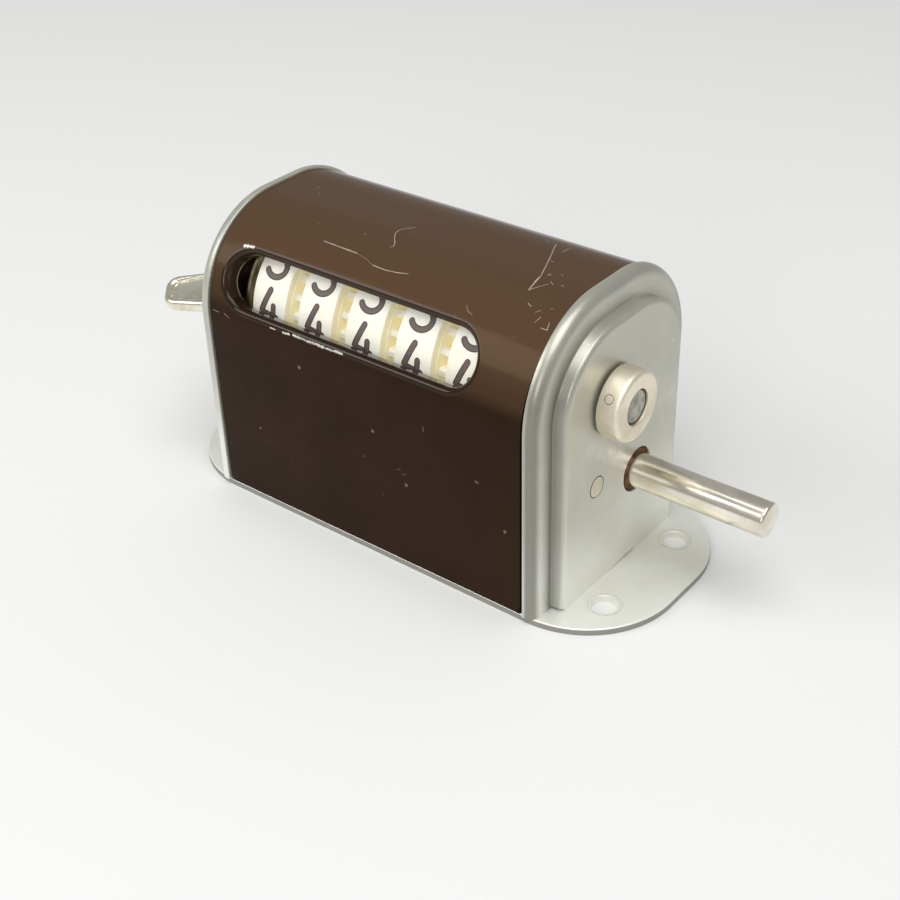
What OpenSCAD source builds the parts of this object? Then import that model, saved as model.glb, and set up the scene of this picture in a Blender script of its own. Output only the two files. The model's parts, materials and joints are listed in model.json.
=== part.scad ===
/* [Base plate] */
// Length of the base plate over both rounded ears
base_l = 106.6; // [104:0.1:116]
// Width of the base plate, the same as the depth of the case
base_w = 45; // [44.9:0.1:45.4]
// Thickness of the base plate
base_t = 1.3; // [1:0.1:1.8]
// Radius of the ear corners
ear_r = 18; // [12:0.5:20]
// Distance between the mounting holes along the length
hole_dx = 88.9; // [88:0.1:92]
// Distance between the mounting holes across the base
hole_dy = 23.3; // [16:0.1:26]
// Diameter of the mounting holes
hole_d = 4.75; // [4:0.05:5.5]

/* [Case] */
// Offset of the case along the base
case_shift = -1.1; // [-1.5:0.1:0]
// Length of the cover between the end plate rims
case_l = 71.8; // [71.6:0.1:72]
// Depth of the cover, front to back
case_d = 45; // [44.8:0.1:45.2]
// Height of the cover above the underside of the base
case_h = 56.25; // [56:0.05:57]
// Radius of the cover's two shoulders
arch_r = 18.6; // [18.4:0.1:18.8]
// Sheet thickness of the cover
cover_t = 0.8; // [0.6:0.1:0.9]

/* [Window] */
// Length of the window between its straight end walls
window_l = 56.4; // [50:0.1:57]
// Width of the window across the shoulder
window_w = 10.7; // [9:0.1:11.2]
// Middle of the window, from the middle of the case
window_x = -3.7; // [-4:0.1:0]
// Angle of the window above the horizontal
window_angle = 27.4; // [24:0.1:32]
// Depth of the edge that is turned inwards round the window
lip_depth = 3.4; // [1.2:0.1:3.6]
// How far the turned edge leans into the window
lip_lean = 0.2; // [0:0.1:0.6]

/* [End plates] */
// Sheet thickness of the end plates
plate_t = 0.9; // [0.7:0.1:1]
// How far the rims stand out of the cover's surface
rim_out = 0.5; // [0.4:0.1:0.7]
// How much closer to the middle the left end plate sits
left_in = 0.75; // [0:0.05:0.9]
// Depth of the rim, from its edge to the ledge
rim_h = 2.6; // [2.6:0.1:3]
// Height of the raised field over the ledge
field_h = 2.4; // [1.8:0.1:2.8]
// Bend radius of the rim
rim_bend = 2; // [1:0.1:2.1]
// Bend radius of the raised field
field_bend = 1.05; // [0.9:0.05:1.2]
// Distance from the cover's outline in to the foot of the raised field
field_inset = 4.1; // [3.6:0.1:4.6]

/* [Number wheels] */
// Distance from one wheel to the next
wheel_pitch = 11.2; // [11.2:0.01:11.3]
// Radius of the number band
band_r = 14.3; // [13.9:0.1:14.4]
// Width of the number band
band_w = 8; // [7.9:0.05:8.05]
// Left face of the highest wheel, from the middle of the case
wheels_x = -28.3; // [-28.5:0.1:-28.1]
// Height of the wheel axis above the underside of the base
wheel_z = 37.65; // [37.6:0.01:37.8]
// Distance of the wheel axis behind the middle of the case
wheel_y = -3.9; // [-4:0.1:-3.8]

/* [Shafts] */
// Diameter of the drive shaft and the reset shaft
shaft_d = 6.35; // [6.2:0.05:6.4]
// Position of the drive shaft behind the middle of the case
drive_y = 4.7; // [4.6:0.05:4.8]
// Height of the drive shaft
drive_z = 18.9; // [18.8:0.05:19]
// How far the drive shaft stands out of the right end plate
drive_out = 26.2; // [12:0.1:40]
// Position of the pinion shaft in front of the middle of the case
pinion_y = -8.15; // [-8.2:0.05:-8.1]
// Height of the pinion shaft
pinion_z = 22.25; // [22.2:0.05:22.3]
// Diameter of the pinion shaft
pinion_shaft_d = 2.4; // [2.2:0.1:2.5]

/* [Reset] */
// Outer diameter of the collar
collar_d = 12.7; // [11.5:0.1:13.5]
// Length of the collar
collar_l = 4.3; // [4:0.1:6]
// Radius of the wing handle at its widest
wing_r = 14.6; // [12:0.1:16]
// Reach of the wing handle out of the left end plate
wing_l = 15.6; // [14.6:0.1:18]
// Angle of the front wing below the horizontal
wing_angle = 20; // [0:1:90]

/* [Hidden] */
$fn = 96;
eps = 0.01;
run_gap = 0.04;          // radial clearance of every running fit
side_gap = 0.15;         // clearance between faces that pass each other

// Case outline: two quarter-circle shoulders with a flat strip between them
arch_c = case_d / 2 - arch_r;
arch_z = case_h - arch_r;
sheet_gap = 0.1;         // gap between the cover's set-in ends and the rims that wrap them
seam = 0.05;             // gap between the cover's outer face and the edge of each rim
tuck = 0.6;              // length of the cover that is hidden in each rim
set_in = plate_t - rim_out + sheet_gap;
set_in_l = 1.5;          // length of the set-in ends on the cover's side
rim_x = case_l / 2;
plate_out = rim_x + rim_h + field_h;
plate_in = plate_out - plate_t;
left_out = plate_out - left_in;
left_inner = plate_in - left_in;
wall_lean = 0.55;        // how far the step's wall leans in over its height

// Feet of the end plates
tab_w = 6;
tab_y = 11;
relief_h = 0.25;         // wedge of daylight under the middle of the raised field
relief_w = 13;
relief_y = -7;
notch = [2.2, 0.45, 2.4]; // corner notches at the foot of the step

// Gear train
transfer_teeth = 20;
pinion_teeth = 8;
drive_teeth = 10;
idler_teeth = 25;
units_teeth = 32;
pressure_angle = 22;
backlash = 0.12;
wheel_axis = [wheel_y, wheel_z];
pinion_axis = [pinion_y, pinion_z];
drive_axis = [drive_y, drive_z];
transfer_m = 2 * norm(wheel_axis - pinion_axis) / (transfer_teeth + pinion_teeth);
units_m = 2 * norm(wheel_axis - pinion_axis) / (units_teeth + pinion_teeth);
drive_m = 2 * norm(drive_axis - pinion_axis) / (drive_teeth + idler_teeth);
to_wheel = bearing(pinion_axis, wheel_axis);
to_pinion = to_wheel + 180;
drive_to_pinion = bearing(drive_axis, pinion_axis);
carry_phase = 147.6;     // angle of the carry teeth from the pinion, against the count
gear_w = 2;              // width of each wheel's gear
gear_x = band_w + 0.2;   // start of that gear, from the wheel's left face
flange_gap = 0.1;        // gap between that gear's flange and the pinions
pinion_w = wheel_pitch - gear_x - flange_gap - side_gap;
carry_w = 0.85;          // width of the carry teeth
carry_drop = 1.35;       // depth of the ring between the carry teeth, in modules
gear_rise = 0.6;         // tooth tips of the large gears above the pitch circle, in modules
pinion_rise = 0.9;       // the same for the pinions
wheel_drop = 1.2;        // root of the wheel gears below it
pinion_drop = 1.1;       // root of the pinions below it
carry_turns = [to_pinion - carry_phase - 9, to_pinion - carry_phase + 9];
hub_r = 5.2;
wheel_bore = shaft_d / 2 + run_gap;
pinion_bore = pinion_shaft_d / 2 + run_gap;
rivet_r = 1.9;           // staked ends of the pinion shaft
sleeve_r = 1.5;          // thin sleeves that run under the number bands
thrust_r = 2.5;          // sleeve between the reduction gear and the end plate
journal_r = 2;           // turned-down inner end of the drive shaft
bushing_l = 7.8;
bushing_r = 5.4;
flange_r = 7;
flange_t = 1.5;
drive_hole_r = 4.2;
idler_x = wheels_x + 4 * wheel_pitch + gear_x + flange_gap;
idler_pinion_w = 2.4;
idler_neck_r = 2.4;
idler_neck_l = 1.9;
idler_gear_w = 2;
drive_gear_x = idler_x + idler_pinion_w + idler_neck_l;
drive_gear_w = 2.2;
ring_w = 0.6;            // retaining rings and their grooves
pinion_ring_x = drive_gear_x - 0.9;
journal_x = drive_gear_x - 1.6;
journal_groove_r = journal_r - 0.4;
shaft_groove_r = shaft_d / 2 - 0.5;

// Wheel inside
face_t = 0.8;            // walls on both sides of the number band
web_x = 3.2;
web_t = 1.4;
rim_t = 1.5;
well_r = 7.8;            // open well round the hub on the gear side
pawl_x = 5;
pawl_w = 1.2;
pawl_t = 0.3;
pawl_r = 7.6;
pawl_arc = 100;
post_r = 0.9;

// Reset parts
collar_gap = 0.5;
collar_edge = 0.9;
end_recess = 0.5;        // shaft end below the collar's face
pin_d = 1.5;
pin_angle = 148;
groove_w = 1.2;
groove_d = 0.8;
wing_gap = 1.35;
wing_t = 2.6;
wing_web_t = 1.1;
wing_rim = 1.5;
handle_hub_l = 10.4;
handle_hub_r = [6, 5];   // at the plate and at the tip
shaft_in_hub = 9;
seat_in = 1.5;           // how far both wheel shaft bearings stand inside the end plates
seat_flange_t = 1.2;
spacer_r = 4.8;
disc_r = 12.6;
disc_t = 0.8;
disc_x = wheels_x - 3.6;

function bearing(a, b) = atan2(b[1] - a[1], b[0] - a[0]);
function arc(c, r, a0, a1, n) = [
    for (i = [0 : n]) let (a = a0 + (a1 - a0) * i / n) [c[0] + r * cos(a), c[1] + r * sin(a)]
];

// Polar angle of an involute at radius r, from its base circle
function involute(base, r) =
    r <= base ? 0 : let (t = sqrt(r * r / (base * base) - 1)) t * 180 / PI - atan(t);

// Half the angle that a tooth fills at radius r
function half_tooth(z, m, r) =
    let (pitch = z * m / 2, base = pitch * cos(pressure_angle))
    90 / z - backlash / 2 / pitch * 180 / PI + involute(base, pitch) - involute(base, r);

// One tooth from the root circle up one involute flank, over the tip and down the other
function tooth(z, m, turn, drop, n = 4) =
    let (
        pitch = z * m / 2,
        base = pitch * cos(pressure_angle),
        root = pitch - drop * m,
        start = max(root, base),
        tip = pitch + (z > 12 ? gear_rise : pinion_rise) * m,
        radii = [for (i = [0 : n]) start + (tip - start) * i / n],
        left = concat([root], radii),
        right = [for (i = [n + 1 : -1 : 0]) left[i]]
    )
    concat(
        [for (r = left) let (a = turn - half_tooth(z, m, r)) r * [cos(a), sin(a)]],
        [for (r = right) let (a = turn + half_tooth(z, m, r)) r * [cos(a), sin(a)]]
    );

// Whole gear outline with its first tooth at the angle turn
module gear_outline(z, m, turn, drop) {
    polygon([for (i = [0 : z - 1]) each tooth(z, m, turn + i * 360 / z, drop)]);
}

// Gear outline with only the teeth at the given angles, joined by arcs of the root circle
module sparse_outline(z, m, turns, drop) {
    root = z * m / 2 - drop * m;
    edge = half_tooth(z, m, root);
    polygon([
        for (i = [0 : len(turns) - 1])
            let (next = i + 1 < len(turns) ? turns[i + 1] : turns[0] + 360)
            each concat(
                tooth(z, m, turns[i], drop),
                [for (a = [turns[i] + edge + 6 : 6 : next - edge - 3]) root * [cos(a), sin(a)]]
            )
    ]);
}

// Turns a shape drawn in the Y-Z plane so that its height runs along the case
module along_x() {
    rotate([90, 0, 90]) children();
}

module at_axis(axis, x) {
    translate([case_shift + x, axis[0], axis[1]]) along_x() children();
}

module tube(outer, inner, h) {
    difference() {
        cylinder(r = outer, h = h);
        translate([0, 0, -eps]) cylinder(r = inner, h = h + 2 * eps);
    }
}

// Carries a section over both shoulders and down both sides of the case
module arch_sweep(low) {
    for (side = [0, 1]) mirror([side, 0, 0]) translate([arch_c, arch_z, 0]) {
        rotate_extrude(angle = 90) children();
        rotate([90, 0, 0]) linear_extrude(arch_z - low) children();
    }
    translate([-arch_c, arch_z, 0]) rotate([90, 0, 90]) linear_extrude(2 * arch_c) children();
}

module case_outline(inset, low) {
    for (side = [-1, 1]) translate([side * arch_c, arch_z]) circle(arch_r - inset);
    translate([-case_d / 2 + inset, low]) square([case_d - 2 * inset, arch_z - low]);
    translate([-arch_c, arch_z]) square([2 * arch_c, arch_r - inset]);
}

// Tapered tunnel with round ends, used for the window and for its rolled edge
module window_tunnel(grow) {
    top = arch_r + 2;
    deep = arch_r - lip_depth - 1;
    slope = lip_lean / lip_depth;
    w_top = window_w / 2 + grow + slope * 2;
    w_deep = window_w / 2 + grow - slope * (lip_depth + 1);
    half_l = (window_l - window_w) / 2;
    for (side = [-1, 1]) translate([side * half_l, 0, deep])
        cylinder(r1 = w_deep, r2 = w_top, h = top - deep);
    translate([-half_l, 0, 0]) along_x() linear_extrude(2 * half_l)
        polygon([[-w_deep, deep], [w_deep, deep], [w_top, top], [-w_top, top]]);
}

module at_window() {
    translate([case_shift + window_x, -arch_c, arch_z]) rotate([90 - window_angle, 0, 0]) children();
}

// Section of an end plate: rim, ledge, leaning step and raised field, as a solid of depth back
module plate_section(back) {
    rim = arch_r + rim_out - back;
    foot = arch_r - field_inset - back;
    field = foot - wall_lean - field_bend;
    ledge = rim_h - back;
    top = rim_h + field_h - back;
    bend = rim_bend - back * 0.5;
    translate([0, -back]) square([rim, ledge - bend + back]);
    square([rim - bend, ledge]);
    translate([rim - bend, ledge - bend]) intersection() {
        circle(bend);
        square(bend + 1);
    }
    polygon([
        [0, ledge - eps], [foot, ledge - eps],
        [foot - wall_lean, top - field_bend], [0, top - field_bend]
    ]);
    square([field, top]);
    translate([foot - wall_lean - field_bend, top - field_bend]) circle(field_bend);
}

// Pressed end plate, drawn with its rim down and its field up
module pressed_plate() {
    difference() {
        arch_sweep(base_t) difference() {
            plate_section(0);
            plate_section(plate_t);
        }
        for (side = [-1, 1]) translate([side * (case_d / 2 - field_inset - 1), base_t, rim_h + 0.9])
            cube([notch[0], 2 * notch[1], notch[2]], center = true);
        foot_relief();
    }
    difference() {
        translate([-arch_c, base_t, rim_h + field_h - plate_t])
            cube([2 * arch_c, arch_z - base_t, plate_t]);
        foot_relief();
    }
    for (side = [-1, 1]) translate([side * tab_y - tab_w / 2, 0, rim_h + field_h - plate_t])
        cube([tab_w, base_t + 2 * relief_h, plate_t]);
}

module foot_relief() {
    translate([relief_y, base_t - eps, rim_h]) cube([relief_w, relief_h, field_h + 1]);
}

module base_plate() color([0.74, 0.75, 0.70]) {
    difference() {
        union() {
            for (end = [-1, 1], side = [-1, 1])
                translate([end * (base_l / 2 - ear_r), side * (base_w / 2 - ear_r), 0])
                    cylinder(r = ear_r, h = base_t);
            translate([-base_l / 2 + ear_r, -base_w / 2, 0]) cube([base_l - 2 * ear_r, base_w, base_t]);
            translate([-base_l / 2, -base_w / 2 + ear_r, 0]) cube([base_l, base_w - 2 * ear_r, base_t]);
        }
        for (end = [-1, 1], side = [-1, 1])
            translate([end * hole_dx / 2, side * hole_dy / 2, -1]) cylinder(d = hole_d, h = base_t + 2);
        for (x = [plate_in, -left_out], side = [-1, 1])
            translate([case_shift + x, side * tab_y - tab_w / 2 - seam, -0.5])
                cube([plate_t, tab_w + 2 * seam, base_t + 1]);
    }
}

// Stretch of bent sheet between two places along the case
module cover_sheet(inset, from, to) {
    translate([case_shift + from, 0, 0]) along_x() linear_extrude(to - from) difference() {
        case_outline(inset, base_t);
        case_outline(inset + cover_t, base_t - 1);
    }
}

module cover() color([0.24, 0.16, 0.11]) {
    left = left_in - rim_x;
    difference() {
        union() {
            cover_sheet(0, left + seam, rim_x - seam);
            cover_sheet(set_in, left - tuck, left + set_in_l);
            cover_sheet(set_in, rim_x - set_in_l, rim_x + tuck);
            intersection() {
                at_window() window_tunnel(cover_t);
                at_axis([-arch_c, arch_z], window_x - window_l / 2 - 2)
                    tube(arch_r - cover_t / 2, arch_r - lip_depth, window_l + 4);
            }
        }
        at_window() window_tunnel(0);
    }
}

module right_end_plate() color([0.77, 0.78, 0.73]) {
    difference() {
        translate([case_shift + rim_x, 0, 0]) along_x() pressed_plate();
        at_axis(drive_axis, plate_in - 1) cylinder(r = drive_hole_r, h = 3);
        at_axis(wheel_axis, plate_in - 1) cylinder(r = hub_r, h = 3);
        at_axis(pinion_axis, plate_in - 1) cylinder(r = rivet_r, h = 3);
    }
}

module left_end_plate() color([0.77, 0.78, 0.73]) {
    difference() {
        translate([case_shift + left_in - rim_x, 0, 0]) mirror([1, 0, 0]) along_x() pressed_plate();
        at_axis(wheel_axis, -left_out - 1) cylinder(r = hub_r, h = 3);
        at_axis(pinion_axis, -left_out - 1) cylinder(r = rivet_r, h = 3);
    }
}

// Drive shaft: thick journal and stub, a ring groove, and a thin inner journal for the pinion
module drive_shaft() color([0.72, 0.70, 0.66]) {
    inner = plate_in - bushing_l;
    chamfer = 0.6;
    difference() {
        union() {
            at_axis(drive_axis, inner) cylinder(d = shaft_d, h = plate_out + drive_out - inner - chamfer);
            at_axis(drive_axis, plate_out + drive_out - chamfer)
                cylinder(d1 = shaft_d, d2 = shaft_d - 2 * chamfer, h = chamfer);
            at_axis(drive_axis, journal_x) cylinder(r = journal_r, h = inner - journal_x + eps);
        }
        at_axis(drive_axis, plate_in + 0.1) tube(shaft_d, shaft_groove_r, ring_w);
        at_axis(drive_axis, pinion_ring_x) tube(shaft_d, journal_groove_r, ring_w);
    }
}

// Flanged bearing for the drive shaft, seated against the inside of the right end plate
module drive_bushing() color([0.62, 0.42, 0.22]) {
    at_axis(drive_axis, plate_in - bushing_l) difference() {
        union() {
            cylinder(r = bushing_r, h = bushing_l);
            translate([0, 0, bushing_l - flange_t]) cylinder(r = flange_r, h = flange_t);
        }
        translate([0, 0, -1]) cylinder(r = shaft_d / 2 + run_gap, h = bushing_l + 2);
    }
}

module drive_pinion() color([0.70, 0.62, 0.38]) {
    at_axis(drive_axis, drive_gear_x) difference() {
        linear_extrude(drive_gear_w) gear_outline(drive_teeth, drive_m, drive_to_pinion, wheel_drop);
        translate([0, 0, -1]) cylinder(r = journal_r, h = drive_gear_w + 2);
    }
}

// Open retaining ring in a groove
module split_ring(groove_r, outer) {
    difference() {
        tube(outer, groove_r, ring_w);
        translate([0, -groove_r * 0.6, -1]) cube([outer + 1, groove_r * 1.2, 3]);
    }
}

module pinion_ring() color([0.45, 0.45, 0.46]) {
    at_axis(drive_axis, pinion_ring_x) split_ring(journal_groove_r, journal_r + 1.3);
}

module shaft_ring() color([0.45, 0.36, 0.28]) {
    at_axis(drive_axis, plate_in + 0.1) split_ring(shaft_groove_r, drive_hole_r - 0.25);
}

// Reduction gear: small pinion under the units wheel, large gear over the drive pinion
module idler_gear() color([0.70, 0.62, 0.38]) {
    at_axis(pinion_axis, idler_x) difference() {
        union() {
            linear_extrude(idler_pinion_w) gear_outline(pinion_teeth, units_m, to_wheel, pinion_drop);
            translate([0, 0, idler_pinion_w - eps]) cylinder(r = idler_neck_r, h = idler_neck_l + 2 * eps);
            translate([0, 0, idler_pinion_w + idler_neck_l]) linear_extrude(idler_gear_w)
                gear_outline(idler_teeth, drive_m, drive_to_pinion + 180 + 180 / idler_teeth, wheel_drop);
        }
        translate([0, 0, -1]) cylinder(r = pinion_bore, h = 12);
    }
}

// Fixed shaft of the pinions, staked into both end plates
module pinion_shaft() color([0.70, 0.70, 0.69]) {
    at_axis(pinion_axis, -left_inner) cylinder(d = pinion_shaft_d, h = left_inner + plate_in);
    for (x = [-left_out, plate_in]) at_axis(pinion_axis, x) cylinder(r = rivet_r, h = plate_t);
}

function pinion_start(k) = wheels_x + k * wheel_pitch + gear_x + flange_gap;

// Sleeves that space the pinions along their shaft
module pinion_spacers() color([0.60, 0.60, 0.60]) {
    at_axis(pinion_axis, seam - left_inner)
        tube(sleeve_r, pinion_bore, pinion_start(0) + left_inner - seam - side_gap);
    for (k = [0 : 2]) at_axis(pinion_axis, pinion_start(k) + pinion_w + side_gap)
        tube(sleeve_r, pinion_bore, wheel_pitch - pinion_w - 2 * side_gap);
    at_axis(pinion_axis, pinion_start(3) + pinion_w + side_gap)
        tube(sleeve_r, pinion_bore, idler_x - pinion_start(3) - pinion_w - 2 * side_gap);
}

module thrust_sleeve() color([0.60, 0.60, 0.60]) {
    start = drive_gear_x + idler_gear_w + side_gap;
    at_axis(pinion_axis, start) tube(thrust_r, pinion_bore, plate_in - start - seam);
}

// Transfer pinion: eight teeth on the gear side, every other tooth runs on to the carry teeth
module transfer_pinion(k) color([0.93, 0.90, 0.80]) {
    long_teeth = [for (i = [0 : 3]) to_wheel + 45 + i * 90];
    at_axis(pinion_axis, pinion_start(k)) difference() {
        union() {
            linear_extrude(gear_w) gear_outline(pinion_teeth, transfer_m, to_wheel, pinion_drop);
            translate([0, 0, gear_w - eps]) linear_extrude(pinion_w - gear_w + eps)
                sparse_outline(pinion_teeth, transfer_m, long_teeth, pinion_drop);
        }
        translate([0, 0, -1]) cylinder(r = pinion_bore, h = pinion_w + 2);
    }
}

module tens_pinion() transfer_pinion(3);
module hundreds_pinion() transfer_pinion(2);
module thousands_pinion() transfer_pinion(1);
module ten_thousands_pinion() transfer_pinion(0);

// Number wheel: band, web, hub, driven gear on its right and two carry teeth on its left
module number_wheel(k, teeth, module_size) color([0.95, 0.93, 0.84]) {
    outer_l = wheel_pitch - side_gap;
    at_axis(wheel_axis, wheels_x + k * wheel_pitch) difference() {
        union() {
            tube(band_r, band_r - rim_t, band_w);
            cylinder(r = band_r - rim_t + eps, h = face_t);
            translate([0, 0, web_x]) cylinder(r = band_r - rim_t + eps, h = web_t);
            cylinder(r = hub_r, h = outer_l - carry_w);
            translate([0, 0, -carry_w]) linear_extrude(carry_w + eps)
                sparse_outline(transfer_teeth, transfer_m, carry_turns, carry_drop);
            translate([0, 0, band_w - face_t])
                tube(band_r - rim_t + eps, well_r, gear_x - band_w + face_t);
            translate([0, 0, gear_x - eps]) linear_extrude(gear_w + eps)
                gear_outline(teeth, module_size, to_pinion + 180 / teeth, wheel_drop);
            rotate([0, 0, pawl_arc]) translate([pawl_r, 0, web_x])
                cylinder(r = post_r, h = pawl_x + pawl_w - web_x + 0.8);
        }
        translate([0, 0, -wheel_pitch]) cylinder(r = wheel_bore, h = 3 * wheel_pitch);
        translate([0, 0, web_x + web_t])
            tube(band_r - rim_t - 1.6, hub_r, band_w - face_t - web_x - web_t + eps);
        translate([0, 0, band_w - face_t - eps]) tube(well_r, hub_r, wheel_pitch);
        pawl_slot();
    }
}

// Room for the pawl in the hub and in its post
module pawl_slot() {
    translate([0, -pawl_w / 2, pawl_x - side_gap]) cube([hub_r + 1, pawl_w, pawl_w + 2 * side_gap]);
    pawl_strip();
}

// Spring pawl: a bowed strip held in the post, with a blade that reaches the shaft through the hub
module pawl_strip() {
    tip_r = wheel_bore + 0.03;
    translate([0, 0, pawl_x]) {
        rotate_extrude(angle = pawl_arc) translate([pawl_r - pawl_t / 2, 0]) square([pawl_t, pawl_w]);
        translate([tip_r, 0, 0]) cube([pawl_r + pawl_t / 2 - tip_r, pawl_t, pawl_w]);
    }
}

module pawl(k) color([0.55, 0.56, 0.58]) {
    at_axis(wheel_axis, wheels_x + k * wheel_pitch) pawl_strip();
}

module units_wheel() number_wheel(4, units_teeth, units_m);
module tens_wheel() number_wheel(3, transfer_teeth, transfer_m);
module hundreds_wheel() number_wheel(2, transfer_teeth, transfer_m);
module thousands_wheel() number_wheel(1, transfer_teeth, transfer_m);
module ten_thousands_wheel() number_wheel(0, transfer_teeth, transfer_m);
module units_pawl() pawl(4);
module tens_pawl() pawl(3);
module hundreds_pawl() pawl(2);
module thousands_pawl() pawl(1);
module ten_thousands_pawl() pawl(0);

// Reset shaft with the groove that picks up the pawls, and its two cross holes
module reset_shaft() color([0.72, 0.70, 0.66]) {
    left = -left_out - wing_gap - shaft_in_hub;
    right = plate_out + collar_gap + collar_l - end_recess;
    difference() {
        at_axis(wheel_axis, left) cylinder(d = shaft_d, h = right - left);
        at_axis(wheel_axis, wheels_x - 2) rotate([0, 0, pin_angle])
            translate([shaft_d / 2 - groove_d, -groove_w / 2, 0]) cube([5, groove_w, 5 * wheel_pitch + 4]);
        cross_pin(collar_x());
        cross_pin(wing_pin_x());
    }
}

function collar_x() = plate_out + collar_gap + 0.45 * collar_l;
function wing_pin_x() = -left_out - wing_gap - 4;

module cross_pin(x) {
    at_axis(wheel_axis, x) rotate([0, 0, pin_angle]) rotate([0, 90, 0])
        cylinder(d = pin_d, h = collar_d + 2, center = true);
}

module flanged_bushing() {
    difference() {
        union() {
            cylinder(r = hub_r, h = plate_t + seat_in);
            translate([0, 0, plate_t]) cylinder(r = flange_r, h = seat_flange_t);
        }
        translate([0, 0, -1]) cylinder(r = wheel_bore, h = 6);
    }
}

module left_bushing() color([0.66, 0.48, 0.28]) {
    at_axis(wheel_axis, -left_out) flanged_bushing();
}

module right_bushing() color([0.66, 0.48, 0.28]) {
    at_axis(wheel_axis, plate_out) mirror([0, 0, 1]) flanged_bushing();
}

// Disc that keeps the highest wheel in place, seen through the left end of the window
module end_disc() color([0.30, 0.28, 0.26]) {
    at_axis(wheel_axis, disc_x) tube(disc_r, wheel_bore, disc_t);
}

module left_spacer() color([0.60, 0.60, 0.60]) {
    start = seat_in - left_inner;
    at_axis(wheel_axis, start) tube(spacer_r, wheel_bore, disc_x - start);
}

module right_spacer() color([0.60, 0.60, 0.60]) {
    start = wheels_x + 5 * wheel_pitch + side_gap;
    at_axis(wheel_axis, start) tube(spacer_r, wheel_bore, plate_in - seat_in - start);
}

module collar() color([0.80, 0.78, 0.72]) {
    difference() {
        at_axis(wheel_axis, plate_out + collar_gap) rotate_extrude() difference() {
            union() {
                square([collar_d / 2, collar_l - collar_edge]);
                square([collar_d / 2 - collar_edge, collar_l]);
                translate([collar_d / 2 - collar_edge, collar_l - collar_edge]) circle(collar_edge);
            }
            translate([-2, -1]) square([2 + shaft_d / 2, collar_l + 2]);
        }
        cross_pin(collar_x());
    }
}

module collar_pin() color([0.82, 0.82, 0.80]) {
    intersection() {
        cross_pin(collar_x());
        at_axis(wheel_axis, plate_out + collar_gap) cylinder(d = collar_d, h = collar_l);
    }
}

// Outline of one wing: reach along the axis against radius, drawn in and out by grow
module wing_outline(grow) {
    tip_r = 4.6;
    heel_r = 2.6;
    tip = [wing_l - tip_r - 0.2, wing_r - tip_r - 0.4];
    heel = [4.2, wing_r - heel_r - 1.4];
    polygon(concat(
        arc(heel, heel_r + grow, 200, 112, 8),
        arc(tip, tip_r + grow, 100, -52, 16),
        [[wing_l - 5.2 + grow, 5.4 - grow], [wing_l - 6.6, 3.5], [2, 3.5]]
    ));
}

module wing() {
    rotate([0, 0, 180]) difference() {
        translate([0, 0, -wing_t / 2]) linear_extrude(wing_t) wing_outline(0);
        for (side = [-1, 1]) translate([0, 0, side * (wing_t + wing_web_t) / 2])
            linear_extrude(wing_t, center = true) intersection() {
                wing_outline(-wing_rim);
                translate([0, hub_r + 0.6]) square([30, 30]);
            }
    }
}

// Cast wing handle: tapered hub with two rimmed wings
module wing_handle() color([0.80, 0.78, 0.68]) {
    difference() {
        translate([case_shift - left_out - wing_gap, wheel_y, wheel_z]) rotate([wing_angle, 0, 0]) {
            rotate([0, -90, 0]) cylinder(r1 = handle_hub_r[0], r2 = handle_hub_r[1], h = handle_hub_l);
            for (side = [0, 1]) rotate([side * 180, 0, 0]) wing();
        }
        at_axis(wheel_axis, -left_out - wing_gap - shaft_in_hub) cylinder(d = shaft_d, h = shaft_in_hub + 3);
        cross_pin(wing_pin_x());
    }
}

module wing_pin() color([0.82, 0.82, 0.80]) {
    intersection() {
        cross_pin(wing_pin_x());
        at_axis(wheel_axis, wing_pin_x() - 2) cylinder(r = 5.5, h = 4);
    }
}

base_plate();
cover();
left_end_plate();
right_end_plate();
drive_shaft();
drive_bushing();
drive_pinion();
pinion_ring();
shaft_ring();
idler_gear();
pinion_shaft();
pinion_spacers();
thrust_sleeve();
tens_pinion();
hundreds_pinion();
thousands_pinion();
ten_thousands_pinion();
units_wheel();
tens_wheel();
hundreds_wheel();
thousands_wheel();
ten_thousands_wheel();
units_pawl();
tens_pawl();
hundreds_pawl();
thousands_pawl();
ten_thousands_pawl();
reset_shaft();
left_bushing();
right_bushing();
left_spacer();
right_spacer();
end_disc();
collar();
collar_pin();
wing_handle();
wing_pin();
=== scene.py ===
import json
import math
import bpy
import bmesh
import numpy as np
from mathutils import Matrix, Vector
from mathutils.geometry import delaunay_2d_cdt


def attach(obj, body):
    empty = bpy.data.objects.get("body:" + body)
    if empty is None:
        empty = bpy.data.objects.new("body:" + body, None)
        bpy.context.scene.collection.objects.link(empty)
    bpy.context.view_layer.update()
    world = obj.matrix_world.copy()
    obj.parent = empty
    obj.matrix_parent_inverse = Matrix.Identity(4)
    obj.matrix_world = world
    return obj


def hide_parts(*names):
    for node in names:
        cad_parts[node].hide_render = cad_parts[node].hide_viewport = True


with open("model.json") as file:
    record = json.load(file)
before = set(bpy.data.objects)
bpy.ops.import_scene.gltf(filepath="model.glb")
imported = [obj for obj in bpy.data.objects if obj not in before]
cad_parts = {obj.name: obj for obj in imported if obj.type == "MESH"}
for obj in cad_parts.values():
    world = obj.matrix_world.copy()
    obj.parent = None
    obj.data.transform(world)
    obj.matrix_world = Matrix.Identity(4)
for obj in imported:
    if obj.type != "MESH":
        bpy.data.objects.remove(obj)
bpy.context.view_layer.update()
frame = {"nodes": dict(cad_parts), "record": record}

mm = 0.001
print("frame loaded:", len(frame["nodes"]), "nodes")

# Objects and shader nodes


def addObject(name, data):
    made = bpy.data.objects.new(name, data)
    bpy.context.scene.collection.objects.link(made)
    return made


def feed(tree, socket, value):
    # a link where the value comes out of another node, otherwise a constant
    if isinstance(value, bpy.types.NodeSocket):
        tree.links.new(value, socket)
    else:
        socket.default_value = value


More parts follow.
